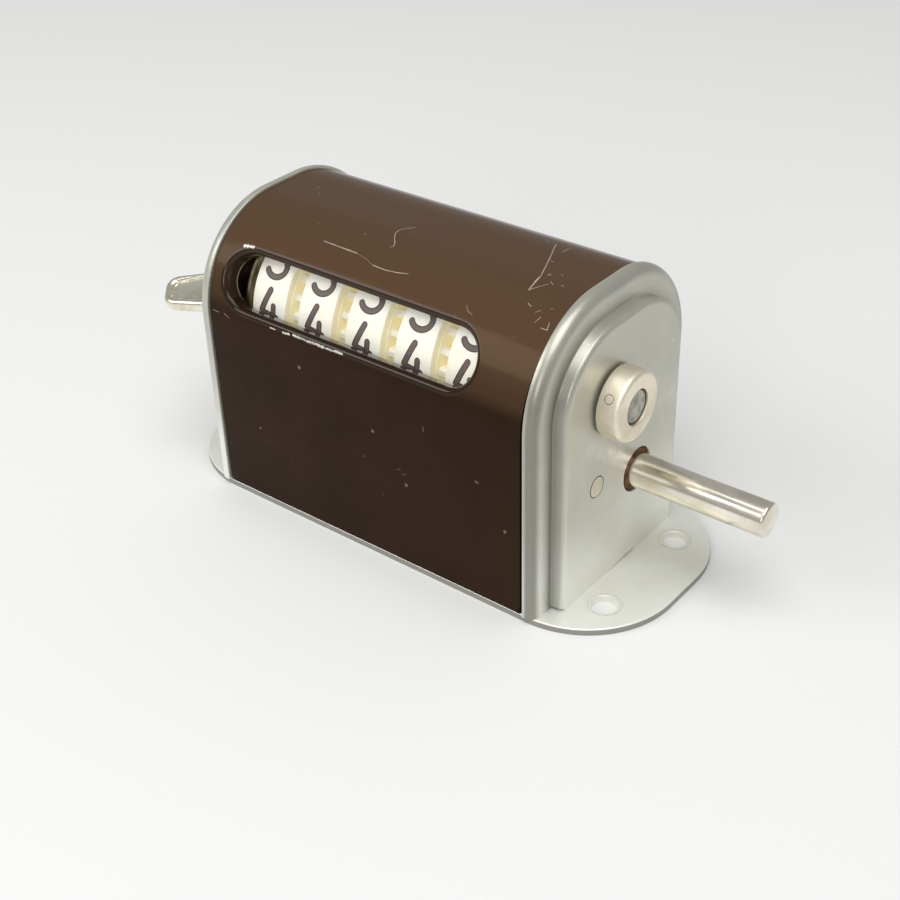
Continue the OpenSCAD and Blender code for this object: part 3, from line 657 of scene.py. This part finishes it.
plateShape = {
    "rimOut": 0.5, "rimHeight": 2.6, "rimBend": 2.0, "fieldHeight": 2.4, "fieldBend": 1.05,
    "fieldInset": 4.1, "wallLean": 0.55, "creaseRadius": 0.35, "thickness": 0.9, "edges": (0.2, 0.1),
    "rightStart": 34.8, "leftStart": -36.25, "rightFace": 39.8,
    "notchHeight": 0.45, "notchWidth": 0.9, "wedge": (-5.2, 4.7, 0.35),
    # painted shade along the right plate's section: run lengths and strengths, full low down and fading above a height
    "paintedShade": ((0, 0.5, 0.9, 2.6, 3.4, 3.9, 5.2, 6.1, 6.8, 7.2, 8.4, 9.0, 9.5),
               (0.2, 0.3, 0.85, 0.85, 0.25, 0, 0.2, 0.75, 0.9, 0.65, 0.6, 0.25, 0)),
    "paintedShadeBelow": 52, "paintedShadeFade": 9, "paintedShadeLeast": 0.25,
    "holes": {"drive": (4.7, 18.9, 4.2), "wheel": (-3.9, 37.65, 5.2), "rivet": (-8.15, 22.25, 1.9)},
}


def plateProfile(shape, inner):
    # section of the sheet as (distance outside the cover's outline, height from the rim's edge);
    # the inner side is the same line set back by the sheet's thickness, so its bends are tighter or wider
    t = shape["thickness"] if inner else 0.0
    out, rim, bend = shape["rimOut"], shape["rimHeight"], shape["rimBend"]
    inset, lean, field = shape["fieldInset"], shape["wallLean"], shape["fieldHeight"]
    crease, top = shape["creaseRadius"], rim + field
    edge, side = shape["edges"][inner], -1 if inner else 1
    tilt = math.degrees(math.atan2(lean, field))
    foot, step = -inset - crease - lean * 0.1, -inset - lean - shape["fieldBend"]
    return joined([
        arcOf((out - t - edge * side, edge), edge, -90, -90 + 90 * side, 5),
        [[out - t, max(rim - bend - 0.1, edge + 0.1)]],
        arcOf((out - bend, rim - bend), bend - t, 0, 90, 12),
        [[foot + crease + 1.2, rim - t]],
        arcOf((foot + crease, rim + crease), crease + t, -90, -180 + tilt, 7),
        arcOf((step + 0.05, top - shape["fieldBend"]), shape["fieldBend"] - t, tilt, 90, 12),
        [[step - 0.5, top - t]],
    ])


def archLoop(out, counts=(26, 40, 8)):
    # the case outline from the front foot over both shoulders to the back foot, moved outwards
    front, quarter, whole = sectionLength()
    stops = [0, front, front + quarter, whole / 2]
    half = np.concatenate([np.linspace(a, b, n, endpoint=False) for a, b, n in zip(stops, stops[1:], counts)])
    return np.column_stack(caseSection(np.concatenate([half, [whole / 2], (whole - half)[::-1]]), out))


def holePatch(centre, radius, height, thickness, roll=0.25):
    # rolled mouth and wall of a punched hole: rings from the flat face down to the inner face
    rings = joined([[[radius + roll + 0.35, height]], arcOf((radius + roll, height - roll), roll, 90, 180, 6),
                    [[radius, height - thickness], [radius + 0.6, height - thickness]]])
    angle = fullTurn(64)
    return surface(np.stack([*polar(centre, rings[:, :1], angle), rings[:, 1:] + 0 * angle], -1), True)


def platePatches(shape, start, side, holes):
    # grids in (across, up, along the case), then turned so that height runs outwards from the case
    stepAt = -shape["fieldInset"] - shape["wallLean"] / 2
    patches, sheets, shades = [], [], []
    for inner in (False, True):
        profile = plateProfile(shape, inner)
        rows = np.stack([raised(archLoop(d), h) for d, h in profile])
        # small notches under the leaning step, at the front and the back foot
        lift = shape["notchHeight"] * np.exp(-((profile[:, 0] - stepAt) / shape["notchWidth"]) ** 6)
        rows[:, (0, -1), 1] += (lift * (profile[:, 1] > shape["rimHeight"] - shape["thickness"] - 0.01))[:, None]
        # painted shade and reflection darken the right plate's rim bend, the ledge's crease and the step, by the length
        # run along the section, less above a height
        run = np.concatenate([[0], np.cumsum(np.linalg.norm(np.diff(profile, axis=0), axis=1))])
        least, height = shape["paintedShadeLeast"], (shape["paintedShadeBelow"] - rows[..., 1]) / shape["paintedShadeFade"]
        share = least + (1 - least) * np.clip(height, 0, 1)
        sheets.append(rows)
        shades.append(np.interp(run, *shape["paintedShade"])[:, None] * share * (side > 0))
        patches.append(surface(rows, False, inner, shades[-1]))
    (outside, inside), shades = sheets, np.stack(shades)
    patches.append(strip(outside[0], inside[0], True, shades[:, 0]))
    for end in (0, -1):
        patches.append(strip(outside[:, end], inside[:, end], end == 0, shades[:, :, end]))
    # the flat field, its foot from the back to the front with a wedge of daylight under the middle, and its holes
    top, t = shape["rimHeight"] + shape["fieldHeight"], shape["thickness"]
    low, (wedgeFront, wedgeBack, rise) = caseShape["low"], shape["wedge"]
    footLine = np.array([[wedgeBack + 0.02, low], [wedgeBack, low + rise * 0.7],
                         [wedgeBack - 0.35, low + rise], [wedgeFront, low]])
    for rows, height, flip in ((outside, top, False), (inside, top - t, True)):
        loops = [np.concatenate([rows[-1][:, :2], footLine])] + [circleLoop(h[:2], h[2] + 0.6) for h in holes]
        patches.append(flatSheet(loops, height, flip))
    for y, z, radius in holes:
        patches.append(holePatch((y, z), radius, top, t))
    last = []
    for rows, height in ((outside, top), (inside, top - t)):
        last.append(raised(np.concatenate([rows[-1][-1:, :2], footLine, rows[-1][:1, :2]]), height))
    patches.append(strip(*last))
    for patch in patches:
        y, z, h = patch["points"].T
        patch["points"] = np.column_stack([start + side * h, y, z])
        if side < 0:
            patch["faces"] = patch["faces"][:, ::-1]
    return patches


# Base: punched plate with two rounded ears

baseShape = {
    "halfX": 53.3, "halfY": 22.5, "corner": 18.0, "thickness": 1.3, "edge": 0.28, "footEdge": 0.08,
    "holeX": 44.45, "holeY": 11.65, "holeRadius": 2.375, "edgeShade": 0.85,
}


def basePatches(shape):
    # the outline is carried over a rounded upper edge and a sharper lower one, and closed by two flat sheets
    centres, normals = roundedLoop(shape["halfX"], shape["halfY"], shape["corner"], 12, 24)
    t, edge, corner, foot = shape["thickness"], shape["edge"], shape["corner"], shape["footEdge"]
    profile = joined([[[corner - 1.0, t]], arcOf((corner - edge, t - edge), edge, 90, 0, 7),
                      arcOf((corner - foot, foot), foot, 0, -90, 3), [[corner - 1.0, 0]]])
    rows = np.stack([raised(centres + r * normals, h) for r, h in profile])
    shade = shape["edgeShade"] * ((rows[..., 2] < t - edge * 0.6) & (rows[..., 2] > 0.05))
    patches = [surface(rows, True, True, shade)]
    holes = [(sx * shape["holeX"], sy * shape["holeY"]) for sx in (-1, 1) for sy in (-1, 1)]
    for row, height, flip in ((rows[0], t, False), (rows[-1], 0.0, True)):
        loops = [row[:, :2]] + [circleLoop(c, shape["holeRadius"] + 0.6) for c in holes]
        patches.append(flatSheet(loops, height, flip))
    return patches + [holePatch(centre, shape["holeRadius"], t, t, 0.2) for centre in holes]


addPiece("coverShell", coverPatches(coverShape), "case", "enamel", ("cover",))
for side, start, turn, holeNames in (("right", plateShape["rightStart"], 1, ("drive", "wheel", "rivet")),
                                     ("left", plateShape["leftStart"], -1, ("wheel", "rivet"))):
    plate = platePatches(plateShape, start, turn, [plateShape["holes"][name] for name in holeNames])
    addPiece(side + "PlateSkin", plate, "case", "zinc_plate", (side + "_end_plate",))
addPiece("baseSkin", basePatches(baseShape), "case", "zinc_base", ("base_plate",))
print("case built")

# Number wheels: band, walls, hub, the gear on the right and two carry teeth on the left, as one closed grid

axes = {"wheel": (-3.9, 37.65), "pinion": (-8.15, 22.25), "drive": (4.7, 18.9)}
wheelShape = {
    "bandRadius": 14.3, "bandWidth": 8.0, "bandEdge": 0.22, "wall": 0.8, "innerRadius": 12.8,
    "bore": 3.215, "hub": 5.2, "hubEnd": 10.2, "webEnd": 4.6, "well": 7.8,
    "gearStart": 8.2, "gearEnd": 10.2, "gearEdge": 0.12, "firstTeeth": 32, "teeth": 20, "pinionTeeth": 8,
    "carryWidth": 0.85, "carryEdge": 0.1, "carryAngles": (97.97, 115.97), "carryRoot": 9.87,
    "carryPitch": (18, 11.41, 1.1412), "meshAngle": 254.57, "around": 480,
    "toothTip": 12.1, "toothDepth": 1.9, "wallShade": 0.6,
    "starts": {"ten_thousands": -29.4, "thousands": -18.2, "hundreds": -7.0, "tens": 4.2, "units": 15.4},
}


def toothRadius(angle, centre, pitchAngle, pitchRadius, size, rise, drop):
    # radius of a gear at an angle: straight flanks between the root, the pitch circle and the tip
    off = np.abs((angle - centre + pitchAngle / 2) % pitchAngle - pitchAngle / 2) / pitchAngle
    return np.interp(off, [0.135, 0.235, 0.32], [pitchRadius + rise * size, pitchRadius, pitchRadius - drop * size])


def wheelPatches(shape, start, teeth):
    # rings of (x, radius) from the bore out over the carry teeth, the band and the gear, then back to the bore
    reach = math.hypot(axes["wheel"][0] - axes["pinion"][0], axes["wheel"][1] - axes["pinion"][1])
    pitchRadius = reach * teeth / (teeth + shape["pinionTeeth"])
    angle = shape["meshAngle"] + 180 / teeth + np.arange(shape["around"]) * 360 / shape["around"]
    gear = toothRadius(angle, angle[0], 360 / teeth, pitchRadius, 2 * pitchRadius / teeth, 0.6, 1.2)
    carry = np.full(len(angle), shape["carryRoot"])
    for centre in shape["carryAngles"]:
        near = np.abs((angle - centre + 180) % 360 - 180) < shape["carryPitch"][0] / 2
        carry = np.where(near, toothRadius(angle, centre, *shape["carryPitch"], 0.6, 1.35), carry)
    radius, width, edge, inner = shape["bandRadius"], shape["bandWidth"], shape["bandEdge"], shape["innerRadius"]
    g0, g1, chamfer, hub = shape["gearStart"], shape["gearEnd"], shape["gearEdge"], shape["hub"]
    left, slope, web = -shape["carryWidth"], shape["carryEdge"], shape["webEnd"]
    rings = [(left, shape["bore"]), (left, carry - slope), (slope + left, carry), (0, carry),
             *arcOf((edge, radius - edge), edge, 180, 90, 6), *arcOf((width - edge, radius - edge), edge, 90, 0, 6),
             (width, inner), (g0, inner), (g0, gear - chamfer), (g0 + chamfer, gear), (g1 - chamfer, gear),
             (g1, gear - chamfer), (g1, shape["well"]), (width - shape["wall"], shape["well"]),
             (width - shape["wall"], inner), (web, inner), (web, hub), (shape["hubEnd"], hub),
             (shape["hubEnd"], shape["bore"]), (left, shape["bore"])]
    x, r = np.array([x for x, r in rings]), np.stack([r * np.ones(len(angle)) for x, r in rings])
    points = np.stack([start + x[:, None] + 0 * r, *polar(axes["wheel"], r, np.radians(angle))], -1)
    # painted shade: a share that grows below the tooth tips, and a set share on the band's right-hand walls
    depth = np.clip((shape["toothTip"] - r) / shape["toothDepth"], 0, 1)
    sideWall = (x >= width) & (r.mean(1) > inner - 0.01)
    return [surface(points, True, True, np.maximum(depth, shape["wallShade"] * sideWall[:, None]))]


for wheelName, start in wheelShape["starts"].items():
    teeth = wheelShape["firstTeeth" if wheelName == "units" else "teeth"]
    addPiece(wheelName + "Band", wheelPatches(wheelShape, start, teeth), wheelName, "wheel_plastic",
             (wheelName + "_wheel",), 30)
print("wheels built")

# Digits: strokes of even width with round ends, laid on the number bands


def roundArc(x, y, a, b, first, last):
    # elliptic arc in the unit box of a digit, angles in degrees
    angle = np.radians(np.linspace(first, last, 40))
    return np.column_stack([x + a * np.cos(angle), y + b * np.sin(angle)])


digitStrokes = [
    [roundArc(0.5, 0.5, 0.5, 0.5, 90, 450)],
    [[(0.16, 0.80), (0.52, 1.0), (0.52, 0.0)]],
    [joined([roundArc(0.5, 0.71, 0.48, 0.29, 165, -28), [(0.0, 0.0), (1.0, 0.0)]])],
    [joined([roundArc(0.46, 0.78, 0.46, 0.24, 150, -75), roundArc(0.44, 0.245, 0.62, 0.305, 78, -152)])],
    [[(0.47, 1.03), (-0.03, 0.31), (1.02, 0.23)], [(0.80, 0.56), (0.80, 0.0)]],
    [joined([[(0.95, 1.0), (0.20, 1.0), (0.10, 0.55)], roundArc(0.46, 0.32, 0.52, 0.32, 132, -150)])],
    [joined([roundArc(1.06, 0.30, 1.06, 0.70, 108, 180), roundArc(0.5, 0.30, 0.5, 0.30, 180, 540)])],
    [[(0.0, 1.0), (1.0, 1.0), (0.38, 0.0)]],
    [roundArc(0.5, 0.76, 0.40, 0.24, -90, 270), roundArc(0.5, 0.26, 0.5, 0.26, 90, 450)],
    [joined([roundArc(-0.06, 0.70, 1.06, 0.70, -72, 0), roundArc(0.5, 0.70, 0.5, 0.30, 0, 360)])],
]
digitShape = {"stroke": 1.2, "size": (3.45, 6.0), "middle": 4.1, "lift": 0.012, "overlap": 0.006,
              "pitch": 36.0, "fourAt": 12.35}


def ribbon(path, halfWidth, place, lift=0.0, ragged=0.0, across=7, seed=1):
    # a stroke of even half-width with round ends along a path of (u, v) points: the width runs square to the path,
    # past both ends it shrinks like a circle, and random numbers can make its two edges ragged
    path = np.array(path, float)
    steps = np.concatenate([[0], np.cumsum(np.linalg.norm(np.diff(path, axis=0), axis=1))])
    length = steps[-1]
    cap = np.linspace(0, math.pi / 2, 7)
    count = max(int(length / (halfWidth * 0.35)), 6)
    t = np.concatenate([-halfWidth * np.cos(cap), np.linspace(0, length, count)[1:-1],
                        length + halfWidth * np.sin(cap)])
    on = np.clip(t, 0, length)
    before, after = np.clip(on - halfWidth * 0.3, 0, length), np.clip(on + halfWidth * 0.3, 0, length)
    at = [np.stack([np.interp(d, steps, path[:, k]) for k in (0, 1)], -1) for d in (on, before, after)]
    ahead = at[2] - at[1]
    ahead /= np.linalg.norm(ahead, axis=1)[:, None]
    beside = np.stack([-ahead[:, 1], ahead[:, 0]], -1)
    over = (t - on)[:, None]
    half = halfWidth * np.sqrt(np.maximum(1 - ((t - on) / halfWidth) ** 2, 0))[:, None]
    chance = np.random.default_rng(seed)
    share = np.linspace(-1, 1, across)[None, :]
    edge = 1 + ragged * np.where(share > 0, chance.uniform(-1, 1, (len(t), 1)), chance.uniform(-1, 1, (len(t), 1)))
    flat = (at[0] + over * ahead)[:, None, :] + (share * half * edge)[..., None] * beside[:, None, :]
    marks = np.maximum(np.abs(share) + 0 * half, np.abs(over) / halfWidth)
    return surface(place(flat[..., 0], flat[..., 1], lift), False, True, marks)


def aroundAxis(axis, radius, startX, startAngle):
    # places (u, v) on a cylinder: u along the case, v round the axis from an angle above the front horizontal
    def place(u, v, lift):
        angle, reach = math.radians(startAngle) + v / radius, radius + lift
        return np.stack([startX + u, axis[0] - reach * np.cos(angle), axis[1] + reach * np.sin(angle)], -1)
    return place


def digitPatches(shape, start):
    # the ten digits, one pitch apart round the band, with the four in view at rest
    patches = []
    for digit, strokes in enumerate(digitStrokes):
        middle = shape["fourAt"] + shape["pitch"] * (4 - digit)
        place = aroundAxis(axes["wheel"], wheelShape["bandRadius"], start + shape["middle"], middle)
        for order, stroke in enumerate(strokes):
            path = (np.array(stroke, float) - 0.5) * shape["size"]
            patches.append(ribbon(path, shape["stroke"] / 2, place, shape["lift"] + shape["overlap"] * order))
    return patches


for wheelName, start in wheelShape["starts"].items():
    addPiece(wheelName + "Digits", digitPatches(digitShape, start), wheelName, "digit_ink")
print("digits laid on the wheels")

# Chips and scratches of the paint on the unrolled cover: a width, then the points of the path

coverMarks = {
    "bare": (
        (0.30, (-17.7, 38.6), (-16.2, 38.7)), (0.32, (-15.2, 38.9), (-12.4, 38.8)), (0.36, (-11.9, 38.8), (-7.9, 38.8)),
        (0.26, (-7.4, 38.8), (-5.6, 38.8)), (0.30, (-5.4, 38.9), (-3.7, 38.9)), (0.16, (-20.8, 38.6), (-19.6, 38.6)),
        (0.40, (-31.0, 51.2), (-28.9, 51.5)),
    ),
    "pale": (
        (0.20, (-15.6, 56.9), (-12.3, 56.8), (-7.9, 56.7)), (0.04, (-7.9, 56.7), (-5.4, 56.2), (-3.4, 55.5)),
        (0.16, (-3.4, 55.5), (-0.6, 55.4), (1.7, 55.6), (4.0, 56.1)),
        (0.11, (-3.3, 67.4), (-4.4, 66.2), (-4.9, 65.1), (-4.8, 63.9), (-3.9, 62.5), (-2.9, 61.4), (-2.5, 60.5),
         (-2.9, 60.2)),
        (0.16, (20.3, 76.5), (22.4, 71.9), (23.9, 68.4), (25.3, 64.9)), (0.26, (25.3, 64.9), (25.9, 60.7)),
        (0.12, (25.9, 60.7), (27.8, 63.4)), (0.13, (23.1, 74.2), (23.1, 77.1)), (0.10, (27.5, 58.1), (28.4, 57.7)),
        (0.10, (29.7, 56.9), (30.4, 57.6)), (0.10, (30.7, 55.2), (31.1, 56.4)),
        (0.12, (32.2, 54.6), (33.4, 54.6), (33.1, 55.9)), (0.09, (31.8, 58.4), (32.2, 58.6)),
        (0.09, (23.4, 70.5), (24.1, 70.3)), (0.09, (27.7, 67.2), (28.3, 67.0)), (0.09, (27.8, 64.2), (28.7, 63.6)),
        (0.09, (29.9, 64.1), (30.4, 64.2)), (0.10, (17.6, 77.3), (18.9, 76.4)), (0.08, (-35.3, 37.8), (-33.8, 37.7)),
        (0.08, (-32.5, 37.9), (-31.2, 37.3)),
    ),
}
# faint tool marks on the right plate: a row in front of the drive shaft's hole, and (y, z, length) near the edges
toolMarks = {
    "count": 14, "start": (-8.6, 28.6), "step": (0.62, -0.14), "sway": 0.5, "lean": 0.25, "length": 1.6,
    "halfWidth": 0.09, "nearEdges": ((14.2, 41.0, 1.2), (15.5, 38.5, 0.9), (-14.5, 21.5, 1.0), (-13.8, 11.4, 0.8),
                                     (-15.2, 30.2, 0.7), (8.4, 31.0, 0.6)),
    "edgeLean": 0.4, "edgeHalfWidth": 0.06,
}


def onCover(u, v, lift):
    return np.stack([u, *caseSection(v, lift)], -1)


def facingRight(x, y0, z0):
    # places (u, v) on an upright plane that faces right: u to the back and v up from a point on it
    def place(u, v, lift):
        return np.stack([x + lift + 0 * u, y0 + u, z0 + v], -1)
    return place


def plateMarks(shape):
    place, marks = facingRight(plateShape["rightFace"], 0, 0), []
    for number in range(shape["count"]):
        y = shape["start"][0] + shape["step"][0] * number
        z = shape["start"][1] + shape["step"][1] * number + shape["sway"] * math.sin(2.3 * number)
        path = ((y, z), (y + shape["lean"], z - shape["length"] - 0.6 * math.cos(1.7 * number)))
        marks.append(ribbon(path, shape["halfWidth"], place, 0.006, 0.6, 3, number))
    for y, z, length in shape["nearEdges"]:
        path = ((y, z), (y + shape["edgeLean"], z - length))
        marks.append(ribbon(path, shape["edgeHalfWidth"], place, 0.007, 0.6, 3, int(z)))
    return marks


for kind, share, ragged, seed in (("bare", 0.6, 0.85, 0), ("pale", 0.5, 0.5, len(coverMarks["bare"]))):
    marks = [ribbon(path, width * share, onCover, 0.008, ragged, 5, number)
             for number, (width, *path) in enumerate(coverMarks[kind], seed)]
    addPiece("coverMarks" + kind.title(), marks, "case", "worn_" + kind)
addPiece("plateMarks", plateMarks(toolMarks), "case", "worn_bare")

# Drive shaft, reset shaft, collar, rivet, pins and end disc

shaftShape = {"inner": 31.1, "end": 66.0, "radius": 3.175, "chamfer": 0.6, "journal": 2.0, "journalStart": 26.4}
resetBar = ((-48.4, 0.0), (-48.4, 2.9), (-48.1, 3.175), (43.9, 3.175), (44.1, 2.95), (44.1, 0.0))
resetGap = {"x": 44.1, "radius": 3.0, "width": 0.35}
collarShape = {
    "start": 40.3, "end": 44.6, "radius": 6.35, "edge": 0.9, "backEdge": 0.2, "bore": 3.21, "mouth": 0.3,
    "pinAngle": 148.0, "pinX": 42.235, "pinRadius": 0.75, "pinRise": 0.03, "pinGap": 0.12,
}
rivetShape = {"radius": 1.9, "rise": 0.03, "gap": 0.16}
endDisc = ((-33.0, 3.22), (-33.0, 12.4), (-32.8, 12.6), (-32.5, 12.6), (-32.2, 12.3), (-32.2, 3.22), (-33.0, 3.22))


def buildShaft(shape):
    # the journal, the long bar, a rounded end and its flat face
    end, radius, chamfer = shape["end"], shape["radius"], shape["chamfer"]
    start, inner, journal = shape["journalStart"], shape["inner"], shape["journal"]
    return lathe([[[start, 0.0], [start, journal], [inner, journal], [inner, radius]],
                  [[x, radius] for x in np.linspace(inner + 0.3, end - chamfer - 0.1, 40)],
                  arcOf((end - chamfer, radius - chamfer), chamfer, 90, 10, 7), [[end - 0.02, radius - chamfer - 0.1]],
                  [[end, r] for r in (radius - chamfer - 0.25, 1.6, 0.8, 0.0)]], axes["drive"])


def buildCollar(shape):
    # a ring with a small rounding at the back, a wide one at the front, and a rounded mouth to its bore
    x0, x1, radius, edge, back = shape["start"], shape["end"], shape["radius"], shape["edge"], shape["backEdge"]
    mouth, bore = shape["mouth"], shape["bore"]
    return lathe([[[x0, bore], [x0, radius - 0.25]], arcOf((x0 + back, radius - back), back, 180, 90, 4),
                  [[x0 + 1.5, radius]], arcOf((x1 - edge, radius - edge), edge, 90, 0, 14), [[x1, bore + mouth + 0.5]],
                  arcOf((x1 - mouth, bore + mouth), mouth, 0, -90, 6), [[x0, bore]]], axes["wheel"])


def discOn(place, radius, rise, base=0.0, rings=10, around=48):
    # round head laid on a surface: height falls from the middle to the rim like a shallow dome
    share, angle = np.sin(np.linspace(0, math.pi / 2, rings))[:, None], fullTurn(around)
    u, v = polar((0, 0), radius * share, angle)
    return surface(place(u, v, base + rise * (1 - share ** 4) + 0 * angle), True, False, share + 0 * angle)


def ringOn(place, radius, width, base, around=64):
    # flat narrow ring that draws the dark gap round a head
    reach = radius + width * np.linspace(-0.5, 0.5, 3)[:, None]
    return surface(place(*polar((0, 0), reach, fullTurn(around)), base), True, True)


resetShaft = lathe([resetBar], axes["wheel"], 96)
addPiece("resetShaftBar", [resetShaft], "reset", "bore_steel", ("reset_shaft",))
addPiece("driveShaftBar", [buildShaft(shaftShape)], "drive", "ground_steel", ("drive_shaft",), 50)
addPiece("collarRing", [buildCollar(collarShape)], "reset", "die_cast", ("collar",), 40)
pinEnds, pinGaps = [], []
for turned in (0, 180):
    around = 180 - collarShape["pinAngle"] + turned
    place = aroundAxis(axes["wheel"], collarShape["radius"], collarShape["pinX"], around)
    pinEnds.append(discOn(place, collarShape["pinRadius"], collarShape["pinRise"], 0.005))
    pinGaps.append(ringOn(place, collarShape["pinRadius"] + 0.04, collarShape["pinGap"], 0.008))
pinGaps.append(ringOn(facingRight(resetGap["x"], *axes["wheel"]), resetGap["radius"], resetGap["width"], 0.01))
addPiece("collarPinEnds", pinEnds, "reset", "die_cast", ("collar_pin",), outwards=True)
addPiece("collarPinGaps", pinGaps, "reset", "outline", outwards=True)
place = facingRight(plateShape["rightFace"], *axes["pinion"])
rivetHead = discOn(place, rivetShape["radius"], rivetShape["rise"], 0.01)
rivetGap = ringOn(place, rivetShape["radius"] + 0.05, rivetShape["gap"], 0.012)
addPiece("rivetHead", [rivetHead], "case", "die_cast", outwards=True)
addPiece("rivetGap", [rivetGap], "case", "outline", outwards=True)
addPiece("endDiscSkin", [lathe([endDisc], axes["wheel"])], "case", "end_disc", ("end_disc",), 30)
print("shafts and collar built")

# Wing handle: tapered hub with two rimmed wings, each the hull of a few circles drawn in along its outline

handleShape = {
    "start": -42.6, "hubLength": 6.6, "hubRadius": (6.0, 5.4), "hubEdges": (0.3, 0.8), "lean": 22.5,
    "circles": ((4.28, 9.93, 2.97), (10.56, 11.64, 3.3), (12.24, 10.24, 2.71), (5.8, 4.4, 0.8), (2.6, 4.2, 0.7)),
    "halfThickness": 1.3, "beadFoot": 0.55, "halfWeb": 0.25, "rim": 1.9,
}


def wingPatches(shape, side):
    # for each direction the circle that reaches furthest gives the outline; moving in by d is the same circle less d
    way = np.stack(polar((0, 0), 1, fullTurn(240)), -1)
    circles = np.array(shape["circles"])
    furthest = np.argmax(way @ circles[:, :2].T + circles[:, 2], axis=1)
    centre, radius = circles[furthest, :2], circles[furthest, 2]
    high, low, web, rim = shape["halfThickness"], shape["beadFoot"], shape["halfWeb"], shape["rim"]
    # bead round the edge as half an ellipse, then a dish whose depth grows as the square of the way in
    profile = []
    for a in np.radians(np.linspace(0, 180, 17)):
        foot = low * (a > math.pi / 2)
        profile.append((rim / 2 - rim / 2 * math.cos(a), foot + (high - foot) * math.sin(a)))
    profile.append((rim + 0.2, low * 0.96))
    grid = []
    for inward, height in profile:
        reach = np.maximum(radius - inward, 0.05)[:, None]
        grid.append(raised(centre + reach * way, height))
    middle, flat = centre.mean(0), grid[-1][:, :2]
    for share in np.linspace(0.9, 0, 10):
        grid.append(raised(middle + share * (flat - middle), web + (low * 0.96 - web) * share ** 2))
    top = np.stack(grid)
    patches = []
    lean = math.radians(shape["lean"]) + (math.pi if side else 0)
    for sign in (1, -1):
        reach, out, height = top[..., 0], top[..., 1], sign * top[..., 2]
        y = axes["wheel"][0] - out * math.cos(lean) - height * math.sin(lean)
        z = axes["wheel"][1] - out * math.sin(lean) + height * math.cos(lean)
        patches.append(surface(np.stack([shape["start"] - reach, y, z], -1), True, sign < 0))
    return patches


def hubPatches(shape):
    # a slim cone with a sharp rounding near the case and a wide one at its end
    x, end = shape["start"], shape["start"] - shape["hubLength"]
    (near, far), (sharp, wide) = shape["hubRadius"], shape["hubEdges"]
    return [lathe([[[x, 0.0], [x, near - sharp]], arcOf((x - sharp, near - sharp), sharp, 0, 90, 5),
                   arcOf((end + wide, far - wide), wide, 90, 180, 9), [[end, 0.0]]], axes["wheel"], 96, False)]


handle = hubPatches(handleShape) + wingPatches(handleShape, 0) + wingPatches(handleShape, 1)
addPiece("wingHandleSkin", handle, "reset", "handle_plating", ("wing_handle",), 40, True)
print("handle built")
